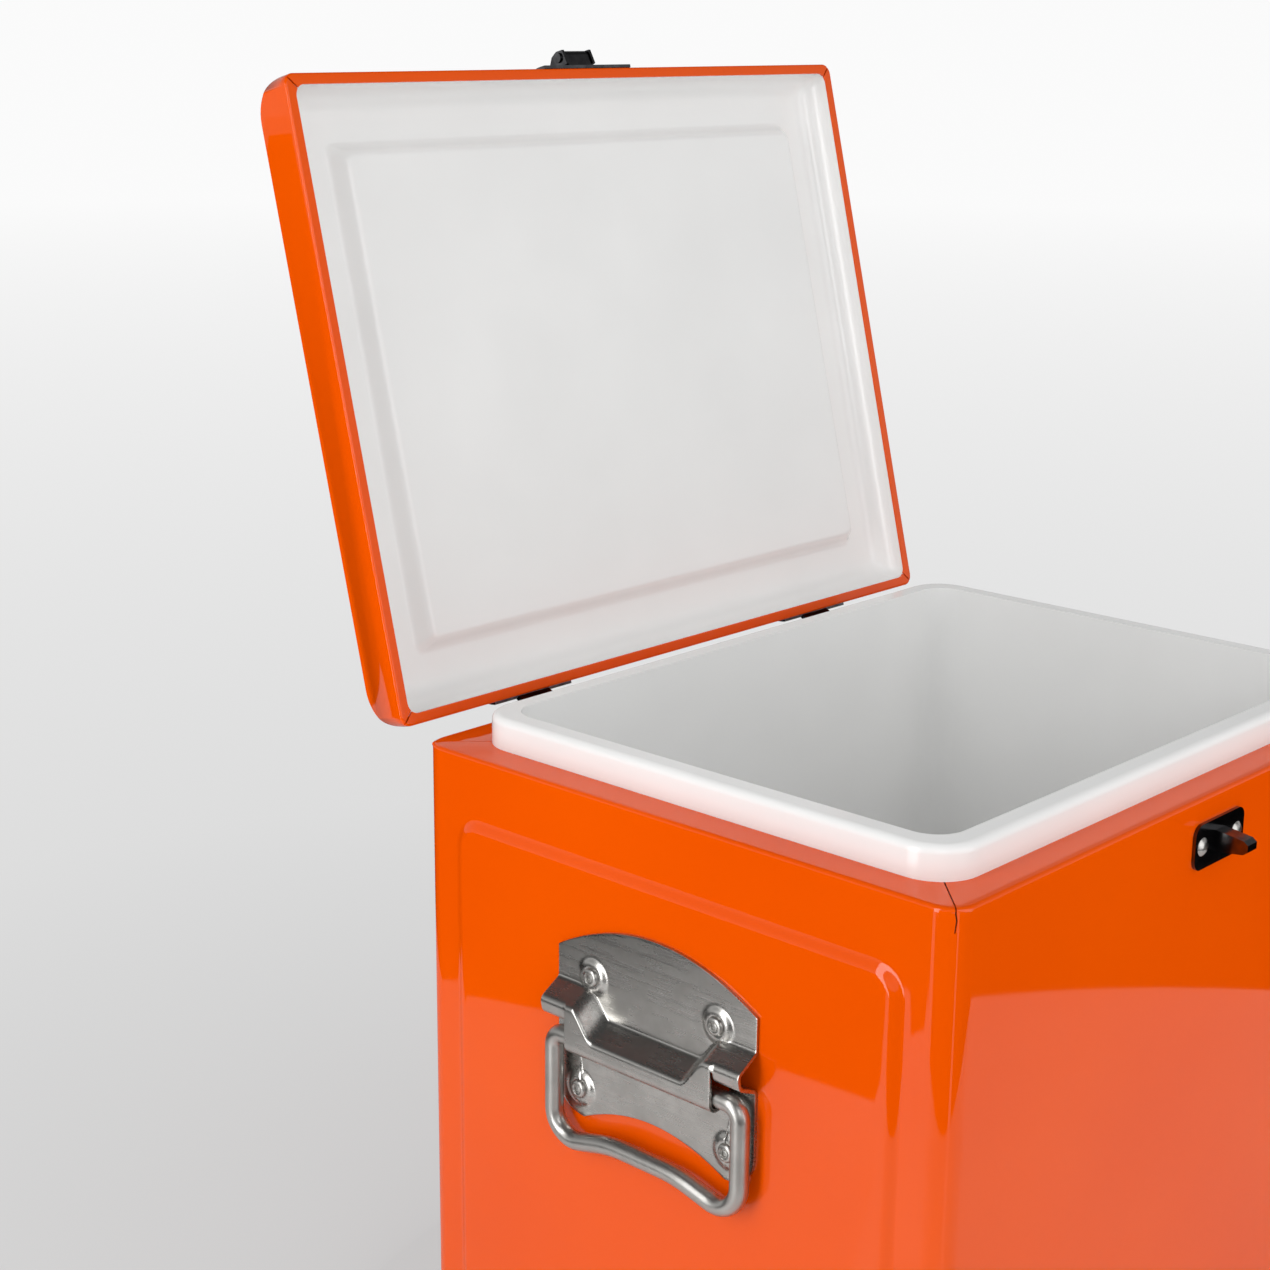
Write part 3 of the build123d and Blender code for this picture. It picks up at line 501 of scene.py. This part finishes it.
mesh = bmesh.from_edit_mesh(skin.data)
round_start = Vector((side - wall_corner, depth_half - wall_corner))
for corner in mesh.verts:
    over = Vector((abs(corner.co.x), abs(corner.co.y))) - round_start
    above_fold = corner.co.z - fold_level
    if above_fold > same_place and over.x > 0 and over.y > 0:
        squarest = over * (over.length / max(over.x, over.y))
        over = over.lerp(squarest, squareness * min(1.0, above_fold / flange_bend))
        corner.co.x = math.copysign(round_start.x + over.x, corner.co.x)
        corner.co.y = math.copysign(round_start.y + over.y, corner.co.y)
bmesh.update_edit_mesh(skin.data)

grow_top(0.0, half_size(flange_bend), half_size(flange_width))
bpy.ops.mesh.delete(type="FACE")
pick(skin, "FACE", lambda f: f.normal.z < -along_axis)
bpy.ops.mesh.delete(type="FACE")
print("skin with its flange", faces_now(skin), "faces")

# %% [markdown]
# The mitre and the slit follow one chain of edges, from the flange's inner edge out over the
# bend and down the corner. The chain is bevelled into a narrow strip, the strip is deleted,
# and the slit's middle is drawn apart into a lens. Cutting with another solid would work too,
# but the edges are already where the cut goes. The sheet gets its thickness last, inwards, so
# that the outside stays where it was drawn.

# %% Cabinet skin, its mitres and slits
mitre_gap = 0.6 * mm
slit_wide = 1.6 * mm
slit_levels = [skin_top - drop * mm for drop in (2.2, 5.0, 9.5)]
chain_half = 0.4 * mm
chain_reach = flange_width + 3.0 * mm
skin_thickness = 1.0 * mm


def off_diagonal(spot):
    """How far a place is from the line that halves its corner's angle."""
    return (side - abs(spot.x)) - (depth_half - abs(spot.y))


def on_chain(edge):
    """Whether an edge is part of a corner's mitre or slit."""
    return all(abs(off_diagonal(v.co)) < chain_half and side - abs(v.co.x) < chain_reach
               and v.co.z > slit_levels[-1] - same_place for v in edge.verts)


for level in slit_levels:
    bpy.ops.mesh.select_all(action="SELECT")
    bpy.ops.mesh.bisect(plane_co=(0, 0, level), plane_no=(0, 0, 1))
print("chain edges", pick(skin, "EDGE", on_chain))
bpy.ops.mesh.bevel(offset=mitre_gap / 2, segments=1, affect="EDGES")
bpy.ops.mesh.delete(type="FACE")
mesh = bmesh.from_edit_mesh(skin.data)
for corner in mesh.verts:
    slant = off_diagonal(corner.co)
    if abs(corner.co.z - slit_levels[1]) < same_place and abs(slant) < mitre_gap and corner.is_boundary:
        spread = math.copysign((slit_wide - mitre_gap) / 2, slant) / math.sqrt(2)
        corner.co.x -= math.copysign(spread, corner.co.x)
        corner.co.y += math.copysign(spread, corner.co.y)
bmesh.update_edit_mesh(skin.data)

bpy.ops.mesh.select_all(action="SELECT")
bpy.ops.mesh.normals_make_consistent(inside=False)
print("skin before its thickness", faces_now(skin), "faces")
modify(skin, "SOLIDIFY", thickness=skin_thickness, offset=-1.0)
print("skin sheet", len(skin.data.polygons), "faces, box", [round(v, 4) for v in skin.dimensions])
modify(skin, "WEIGHTED_NORMAL", keep_sharp=True)
settle(skin, "cabinet_skin", enamel, "cabinet", "body_shell", smooth=40)

# %% [markdown]
# The inside of the lid is one white moulding: a deep cove all round, a shallow channel and a
# raised panel, with every edge soft. It is drawn as rings: a rectangle with round corners is
# extruded again and again, each time a little smaller and at the height that the moulding's
# section has there. The first rectangle stays behind the rings, so it is deleted. The lid is
# modelled closed, then its mesh is turned open about the hinge.

# %% Lid liner
hinge_point = Vector((0, 0.150, 0.3535))
lid_opening = math.radians(104.0)
open_turn = (Matrix.Translation(hinge_point) @ Matrix.Rotation(-lid_opening, 4, "X")
             @ Matrix.Translation(-hinge_point))
lid_half = Vector((188.5, 144.0)) * mm
lid_level = 355.5 * mm
moulding_corner = 5.0 * mm
moulding_wall = 2.0 * mm
cove_depth = 16.3 * mm
panel_depth = 8.5 * mm
sheet_lip = 1.1 * mm
cove_start = 5.0 * mm
cove_bottom = 16.5 * mm
cove_fullness = 2.2
channel_end = 28.0 * mm
swell_end = 35.5 * mm
last_ring = swell_end + 2.0 * mm
ring_gap = 0.9 * mm


def moulding_depth(inset):
    """How deep the moulding lies at a distance in from the lid's outline."""
    if inset < cove_bottom:
        share = (cove_bottom - inset) / (cove_bottom - cove_start)
        return sheet_lip + (cove_depth - sheet_lip) * math.sqrt(max(0.0, 1 - share ** cove_fullness))
    return cove_depth - (cove_depth - panel_depth) * ease((inset - channel_end) / (swell_end - channel_end))


moulding_size = (lid_half - Vector((cove_start, cove_start))) * 2
moulding = begin(bpy.ops.mesh.primitive_plane_add, size=1, rotation=(math.pi, 0, 0),
                 location=(0, 0, lid_level + sheet_lip))
bpy.ops.mesh.select_all(action="SELECT")
bpy.ops.transform.resize(value=(moulding_size.x, moulding_size.y, 1), center_override=(0, 0, lid_level))
bpy.ops.mesh.bevel(offset=moulding_corner, segments=8, affect="VERTICES", profile=0.5)
rings = int((last_ring - cove_start) / ring_gap)
inset_before, depth_before = cove_start, sheet_lip
for ring_index in range(1, rings + 1):
    inset_now = cove_start + ring_index * ring_gap
    if inset_now < cove_bottom:
        share = 1 - ring_index * ring_gap / (cove_bottom - cove_start)
        inset_now = cove_bottom - (cove_bottom - cove_start) * math.sin(share * math.pi / 2)
    depth_now = moulding_depth(inset_now)
    bpy.ops.mesh.extrude_region()
    bpy.ops.transform.resize(value=((lid_half.x - inset_now) / (lid_half.x - inset_before),
                                    (lid_half.y - inset_now) / (lid_half.y - inset_before), 1),
                             center_override=(0, 0, lid_level))
    bpy.ops.transform.translate(value=(0, 0, depth_now - depth_before))
    inset_before, depth_before = inset_now, depth_now
pick(moulding, "FACE", lambda f: f.calc_area() > large_face
     and all(abs(v.co.z - lid_level - sheet_lip) < same_place for v in f.verts))
bpy.ops.mesh.delete(type="ONLY_FACE")
modify(moulding, "SOLIDIFY", thickness=moulding_wall, offset=-1.0)
moulding.data.transform(open_turn)
modify(moulding, "WEIGHTED_NORMAL", keep_sharp=True)
settle(moulding, "lid_moulding", liner_white, "lid", "lid_liner", smooth=50)

# %% [markdown]
# The lid's own sheet already has its shape and its folded hem, but a folded edge is round
# and bright, never a knife edge. A copy of the piece is merged, turned closed, its hem's outer
# edges are picked by their level, and a bevel rounds them.

# %% Lid shell with a rolled hem
hem_round = 1.6 * mm
hem_reach = 2.2 * mm
hem_height = 0.05 * mm
hem_bend = math.radians(45)


def copy_of(node):
    """A merged copy of a CAD piece, open for editing."""
    twin = nodes[node].copy()
    twin.data = nodes[node].data.copy()
    twin.data.transform(nodes[node].matrix_world)
    twin.parent = None
    twin.matrix_world = Matrix()
    bpy.context.scene.collection.objects.link(twin)
    bpy.ops.object.select_all(action="DESELECT")
    twin.hide_set(False)
    twin.select_set(True)
    bpy.context.view_layer.objects.active = twin
    bpy.ops.object.mode_set(mode="EDIT")
    bpy.ops.mesh.select_all(action="SELECT")
    bpy.ops.mesh.remove_doubles(threshold=0.002 * mm)
    bpy.ops.mesh.dissolve_limited(angle_limit=math.radians(1.0))
    return twin


lid_sheet = copy_of("lid_shell")
bpy.ops.object.mode_set(mode="OBJECT")
lid_sheet.data.transform(open_turn.inverted())
bpy.ops.object.mode_set(mode="EDIT")


def on_hem(edge):
    """Whether an edge is part of the hem's outer outline."""
    outer = all(abs(v.co.z - lid_level) < hem_height for v in edge.verts)
    spot = middle(edge)
    near = min(lid_half.x - abs(spot.x), lid_half.y - abs(spot.y)) < hem_reach
    return outer and near and len(edge.link_faces) == 2 and edge.calc_face_angle(0) > hem_bend


print("hem edges", pick(lid_sheet, "EDGE", on_hem))
bpy.ops.mesh.bevel(offset=hem_round, segments=5, affect="EDGES", profile=0.5, clamp_overlap=True)
bpy.ops.object.mode_set(mode="OBJECT")
lid_sheet.data.transform(open_turn)
modify(lid_sheet, "WEIGHTED_NORMAL", keep_sharp=True)
settle(lid_sheet, "lid_sheet", enamel, "lid", "lid_shell", smooth=40)

# %% [markdown]
# A chest handle's plate is one stainless sheet, pressed. Above, it is flat with an arched top
# edge. In the middle the sheet swells out into a bead that holds the bail's wire, drops in a
# dogleg from each end to the middle, and is cut back so that the wire can come out. Below, it
# is flat again. The blank is a fine grid, and one function is the press: it says how far out
# and how high each point of the sheet ends up. That gives the bead its true round bends at
# every place along it, which stacked blocks can't. Pairs of levels are for the middle of the
# plate first and for its ends second. The stops share out the grid's rows between the runs and
# the bends of the section, from the top edge down.

# %% Handle plate, its section
pivot_height = 250.5 * mm
plate_half = 54.2 * mm
plate_out = 4.0 * mm
plate_sheet = 1.5 * mm
arch_top = 52.7 * mm
arch_fall = 16.1 * mm
foot_level = -28.0 * mm
foot_sag = 10.0 * mm
foot_corner = 12.8 * mm
foot_corner_start = 39.2 * mm
bead_out = 15.3 * mm
bead_root = (10.5 * mm, 22.3 * mm)
bead_crest = (3.4 * mm, 15.6 * mm)
dogleg = (24.0 * mm, 37.0 * mm)
strap_half = 40.4 * mm
bead_bends = (1.8 * mm, 2.6 * mm, 4.6 * mm, 0.9 * mm)
ear_bends = (1.8 * mm, 3.6 * mm, 4.0 * mm, 2.0 * mm)
strap_foot = -5.7 * mm
ear_foot = 4.6 * mm
ear_under = 8.8 * mm
ear_tuck = 1.5 * mm
plate_stops = (0.0, 0.27, 0.31, 0.40, 0.48, 0.55, 0.66, 0.71, 0.75, 1.0)


def along_bends(corners, radii, way):
    """A point part of the way along a line of straight runs joined by round bends."""
    ends = [corners[0]]
    for before, corner, after, radius in zip(corners, corners[1:], corners[2:], radii):
        arrive, leave = (corner - before).normalized(), (after - corner).normalized()
        cut = radius * math.tan(arrive.angle(leave) / 2)
        ends += [corner - arrive * cut, corner + leave * cut]
    ends.append(corners[-1])
    run = max(i for i in range(len(plate_stops) - 1) if way >= plate_stops[i])
    share = (way - plate_stops[run]) / (plate_stops[run + 1] - plate_stops[run])
    first, last = ends[run], ends[run + 1]
    if run % 2 == 0:
        return first.lerp(last, share)
    corner = corners[run // 2 + 1]
    turn = (corner - first).angle(last - corner)
    centre = corner + (first + last - corner * 2).normalized() * radii[run // 2] / math.cos(turn / 2)
    spokes = (first - centre) * math.sin((1 - share) * turn) + (last - centre) * math.sin(share * turn)
    return centre + spokes / math.sin(turn)


def bottom_edge(far):
    """The level of the plate's lower edge, a shallow sag with round corners."""
    if far < foot_corner_start:
        return foot_level - foot_sag * (far / foot_corner_start) ** 2
    past = (far - foot_corner_start) / (plate_half - foot_corner_start)
    return foot_level - foot_sag + foot_corner * (1 - math.sqrt(max(0.0, 1 - past ** 2)))


def plate_point(along, way):
    """How far out and how high the pressed sheet lies, from the pivot's line."""
    far = abs(along)
    drop = ease((far - dogleg[0]) / (dogleg[1] - dogleg[0]))
    root = bead_root[0] + (bead_root[1] - bead_root[0]) * drop
    crest = bead_crest[0] + (bead_crest[1] - bead_crest[0]) * drop
    top = arch_top - arch_fall * (far / plate_half) ** 2
    if far < strap_half:
        under, bends = [(bead_out, strap_foot), (plate_out, strap_foot)], bead_bends
    else:
        under, bends = [(bead_out - ear_tuck, ear_under), (plate_out, ear_foot)], ear_bends
    corners = [(plate_out, top), (plate_out, root), (bead_out, crest), *under, (plate_out, bottom_edge(far))]
    return along_bends([Vector(c) for c in corners], bends, way)


print("foot of the plate in the middle", [round(v / mm, 1) for v in plate_point(0.0, 1.0)])

# %% [markdown]
# Round each rivet the sheet is dished out a little, with a flat top that the rivet seats on.
# The dish is added to the press function's answer by distance from the rivet, on the flat
# stretches only. Where the wire comes out, the sheet is cut, so the grid loses the faces that
# would bridge the cut. The last row stays a hair above the lower edge, inside the last run. The
# sheet gets its thickness towards the cabinet, so that it seats on the panel.

# %% Handle plate, pressed from its blank
upper_rivet = (34.2 * mm, 27.5 * mm)
lower_rivet = (41.0 * mm, -25.2 * mm)
rivet_spots = [Vector((side_sign * along, up)) for along, up in (upper_rivet, lower_rivet)
               for side_sign in (-1, 1)]
dish_edge = 8.5 * mm
dish_flat = 5.8 * mm
dish_rise = 1.2 * mm
ring_radius = 4.9 * mm
ring_rise = 0.30 * mm
ring_spread = 0.55 * mm
flat_limit = plate_out + 0.3 * mm
cut_edge_round = 0.3 * mm
columns, rows = 130, 110
cut_from, cut_to = plate_stops[4], plate_stops[8]
last_way = 0.9999


def dish(along, up):
    """How far the sheet is dished out beside a rivet, with a small ring pressed round its head."""
    reach = min((Vector((along, up)) - spot).length for spot in rivet_spots)
    ring = ring_rise * math.exp(-((reach - ring_radius) / ring_spread) ** 2)
    return dish_rise * ease((dish_edge - reach) / (dish_edge - dish_flat)) + ring


def press_plate(sign):
    """One handle's plate, on the side of the cabinet that sign gives."""
    plate = begin(bpy.ops.mesh.primitive_grid_add, x_subdivisions=columns, y_subdivisions=rows, size=2)
    mesh = bmesh.from_edit_mesh(plate.data)
    spots = {}
    for corner in mesh.verts:
        spots[corner] = (corner.co.x * plate_half, (1 - corner.co.y) / 2)
    doomed = []
    for face in mesh.faces:
        reach = [abs(spots[v][0]) for v in face.verts]
        face_way = sum(spots[v][1] for v in face.verts) / len(face.verts)
        if min(reach) < strap_half <= max(reach) and cut_from < face_way < cut_to:
            doomed.append(face)
    for corner, (along, way) in spots.items():
        out, up = plate_point(along, min(way, last_way))
        if out < flat_limit:
            out += dish(along, up)
        corner.co = Vector((sign * (side + out), -sign * along, pivot_height + up))
    bmesh.ops.delete(mesh, geom=doomed, context="FACES")
    bmesh.update_edit_mesh(plate.data)
    modify(plate, "SOLIDIFY", thickness=plate_sheet, offset=1.0)
    modify(plate, "BEVEL", width=cut_edge_round, segments=2, limit_method="ANGLE",
           angle_limit=math.radians(60))
    return plate


for word, sign in (("left", -1), ("right", 1)):
    settle(press_plate(sign), word + "_pressed_plate", steel_sheet, "cabinet",
           word + "_handle_plate", smooth=50)

# %% [markdown]
# A blind rivet's head is a low dome with a groove round a hollow middle, where the broken
# mandrel shows. It is a short cylinder whose end face is inset again and again, each time
# raised or sunk, and the four of a handle are copies.

# %% Handle rivets
rivet_radius = 4.1 * mm
rivet_skirt = 0.8 * mm
rivet_lift = 0.1 * mm
rivet_sides = 40
rivet_steps = ((0.15, 0.35), (0.35, 0.42), (0.6, 0.28), (0.5, 0.08), (0.18, -0.12), (0.25, -0.45),
               (0.22, 0.0), (0.25, 0.42), (0.35, 0.08), (0.12, -0.6))


def rivet_head():
    """One rivet head that points up from the origin."""
    head = begin(bpy.ops.mesh.primitive_cylinder_add, vertices=rivet_sides, radius=rivet_radius,
                 depth=rivet_skirt, location=(0, 0, 0))
    pick(head, "FACE", lambda f: f.normal.z > along_axis)
    for narrower, higher in rivet_steps:
        bpy.ops.mesh.inset(thickness=narrower * mm, depth=higher * mm)
    bpy.ops.object.mode_set(mode="OBJECT")
    return head


def place_rivets(sign, name, node):
    """Copies of the rivet head on one handle's dishes."""
    head = rivet_head()
    seat_out = side + plate_out + dish_rise + rivet_lift
    copies = []
    for spot in rivet_spots:
        seat = Vector((sign * seat_out, -sign * spot.x, pivot_height + spot.y))
        turned = Matrix.Translation(seat) @ Matrix.Rotation(sign * math.pi / 2, 4, "Y")
        copy = bpy.data.objects.new(name, head.data.copy())
        copy.data.transform(turned)
        bpy.context.scene.collection.objects.link(copy)
        copies.append(copy)
    bpy.data.objects.remove(head, do_unlink=True)
    bpy.ops.object.select_all(action="DESELECT")
    for copy in copies:
        copy.select_set(True)
    bpy.context.view_layer.objects.active = copies[0]
    bpy.ops.object.join()
    settle(copies[0], name, steel_wire, "cabinet", node, smooth=30)


place_rivets(-1, "left_rivet_heads", "left_handle_rivets")
place_rivets(1, "right_rivet_heads", "right_handle_rivets")

# %% [markdown]
# To the camera the studio is a pale sweep: the table and the room behind are near white, darker
# close by, and the table keeps the cooler's shadow. A table lit by lamps alone would show their
# fall-off as a patch, so far out the table shows a level of its own. Close in it keeps a fifth
# of the lamps' light, which is what the shadow is drawn with.

# %% Studio, its table
table_level = -0.0005
table_reach = 9.0
round_sides = 96
near_white = 0.59
far_white = 0.96
white_from, white_to = 0.3, 7.5
white_curve = 0.42
lamps_from, lamps_to = 0.45, 0.95
own_share_close = 0.8


def show_to_camera(path):
    """1 for rays that come from the camera straight or through glass, 0 for other light."""
    return path["Is Camera Ray"] + path["Is Transmission Ray"]


def light_path(tree):
    """The kinds of ray that a shader can tell apart, by name."""
    node = tree.nodes.new("ShaderNodeLightPath")
    return {socket.name: Val(tree, socket) for socket in node.outputs}


def sweep_finish(name):
    """Matt white that mostly shows a level of its own, paler further out."""
    paint = Paint(name, Base_Color=colour(236, 236, 236), Roughness=0.9)
    spot = paint.node("ShaderNodeTexCoord", output="Object")
    reach = paint.node("ShaderNodeVectorMath", {"operation": "LENGTH"}, output="Value", Vector=spot)
    rise = paint.spread(reach, white_from, white_to).math("POWER", white_curve)
    glow = paint.node("ShaderNodeEmission", Strength=rise * (far_white - near_white) + near_white)
    own_share = paint.spread(reach, lamps_from, lamps_to, own_share_close, 1.0)
    mix = paint.tree.nodes.new("ShaderNodeMixShader")
    lit = Val(paint.tree, paint.shader.outputs[0])
    for slot, value in zip(mix.inputs, (show_to_camera(light_path(paint.tree)) * own_share, lit, glow)):
        plug(paint.tree, slot, value)
    paint.tree.links.new(mix.outputs[0], paint.tree.nodes["Material Output"].inputs["Surface"])
    return paint.material


bpy.ops.object.select_all(action="DESELECT")
bpy.ops.mesh.primitive_circle_add(vertices=round_sides, radius=table_reach, fill_type="NGON",
                                  location=(0, 0, table_level))
table = bpy.context.object
table.name = "studio_table"
dress(table, sweep_finish("studio_white"))
print("table", table_reach, "m round")

# %% [markdown]
# Gloss shows what stands round it. The enamel in the photo shows the white table low down, a
# dark room above it and narrow streaks of light on the near corner. So a dark ring lies on the
# table, and on the ring lie two narrow cards of light, and all three are seen by reflections
# alone. The dark stuff has no shine of its own.

# %% Studio, what only reflections see
ring_inner = 0.74
ring_outer = 6.0
ring_middle = (-0.03, 0.025, 0.0015)
card_level = 0.0025
near_corner = (-0.1875, -0.1405)


def hide_from_all_but_gloss(thing):
    """Leaves a studio object visible to reflections only."""
    for kind in ("camera", "diffuse", "shadow", "transmission"):
        setattr(thing, "visible_" + kind, False)


bpy.ops.mesh.primitive_circle_add(vertices=round_sides, radius=ring_outer, fill_type="NGON",
                                  location=ring_middle)
ring = bpy.context.object
ring.name = "studio_dark_ring"
bpy.ops.object.mode_set(mode="EDIT")
bpy.ops.mesh.select_all(action="SELECT")
bpy.ops.mesh.inset(thickness=ring_outer - ring_inner)
bpy.ops.mesh.delete(type="FACE")
bpy.ops.object.mode_set(mode="OBJECT")
dress(ring, Paint("studio_black", Base_Color=colour(14, 13, 13), Roughness=1.0,
                  Specular_IOR_Level=0.0).material)
hide_from_all_but_gloss(ring)


def bright_strip(name, azimuth, near, far, width, near_level, rise_length):
    """A narrow card of light that points away from the near corner and is full bright soon."""
    turn = math.radians(azimuth)
    half = (far - near) / 2
    place = (near_corner[0] + math.sin(turn) * (near + half),
             near_corner[1] - math.cos(turn) * (near + half), card_level)
    bpy.ops.mesh.primitive_plane_add(size=1.0, location=place, rotation=(0, 0, turn))
    card = bpy.context.object
    card.name = name
    card.scale = (width, far - near, 1)
    bpy.ops.object.transform_apply(location=False, rotation=False, scale=True)
    paint = Paint(name, Base_Color=colour(9, 9, 9), Roughness=1.0, Specular_IOR_Level=0.0,
                  Emission_Strength=1.0)
    level = paint.spread(paint.axis("Y"), half - rise_length, half, 1.0, near_level)
    dress(card, paint.feed(Emission_Color=paint.blend(level, (0, 0, 0, 1), (1, 1, 1, 1))))
    hide_from_all_but_gloss(card)
    return card


streak_right = bright_strip("studio_streak_right", azimuth=-21, near=0.3, far=1.5, width=0.08,
                            near_level=0.8, rise_length=0.0158)
streak_left = bright_strip("studio_streak_left", azimuth=-116, near=0.3, far=1.5, width=0.14,
                           near_level=0.6, rise_length=0.0649)
print("staged the table, the dark ring and two cards")

# %% [markdown]
# Three soft lamps light the cooler: a tall one close to its left, a wide one in front, and one
# by the camera for the end with the handle. The room's light goes by the kind of ray. The
# camera sees the same near white as the far table, so no horizon shows. Matt surfaces get an
# even light from all round, and gloss gets a bright backdrop low down and a dark ceiling.

# %% Studio, its lamps and its room
def soft_lamp(name, azimuth, distance, low, high, width, power):
    """An upright soft lamp at an azimuth round the cooler, turned to face it."""
    turn = math.radians(azimuth)
    place = Vector((math.sin(turn) * distance, -math.cos(turn) * distance, (low + high) / 2))
    bpy.ops.object.light_add(type="AREA", location=place)
    lamp = bpy.context.object
    lamp.name = name
    lamp.data.shape = "RECTANGLE"
    lamp.data.size = width
    lamp.data.size_y = high - low
    lamp.data.energy = power
    lamp.rotation_euler = (Vector((0, 0, place.z)) - place).to_track_quat("-Z", "Y").to_euler()


soft_lamp("lamp_left", azimuth=-97, distance=1.0, low=0.02, high=1.1, width=0.26, power=4.6)
soft_lamp("lamp_front", azimuth=5, distance=1.0, low=0.02, high=1.35, width=0.7, power=4.4)
soft_lamp("lamp_camera", azimuth=-38, distance=1.6, low=0.8, high=1.4, width=0.45, power=3.2)

room_level = 0.57
ceiling_level = 0.5
backdrop_gloss = 0.62
ceiling_gloss = 0.06
backdrop_top = 0.15
ceiling_start = 0.65

world = bpy.data.worlds.new("studio_room")
bpy.context.scene.world = world
world.use_nodes = True
world_tree = world.node_tree
room = world_tree.nodes["Background"]
rays = light_path(world_tree)
aim = world_tree.nodes.new("ShaderNodeTexCoord")
split = world_tree.nodes.new("ShaderNodeSeparateXYZ")
world_tree.links.new(aim.outputs["Generated"], split.inputs[0])
upward = world_tree.nodes.new("ShaderNodeMapRange")
world_tree.links.new(split.outputs["Z"], upward.inputs["Value"])
for socket, value in (("From Min", backdrop_top), ("From Max", ceiling_start)):
    upward.inputs[socket].default_value = value
height_share = Val(world_tree, upward.outputs["Result"])
gloss_level = height_share * (ceiling_gloss - backdrop_gloss) + backdrop_gloss
matt_level = height_share * (ceiling_level - room_level) + room_level
unseen_level = rays["Is Glossy Ray"] * (gloss_level - matt_level) + matt_level
seen = show_to_camera(rays)
plug(world_tree, room.inputs["Strength"], seen * far_white + (1 - seen) * unseen_level)
room.inputs["Color"].default_value = (1, 1, 1, 1)
bpy.context.scene.view_settings.view_transform = "Standard"
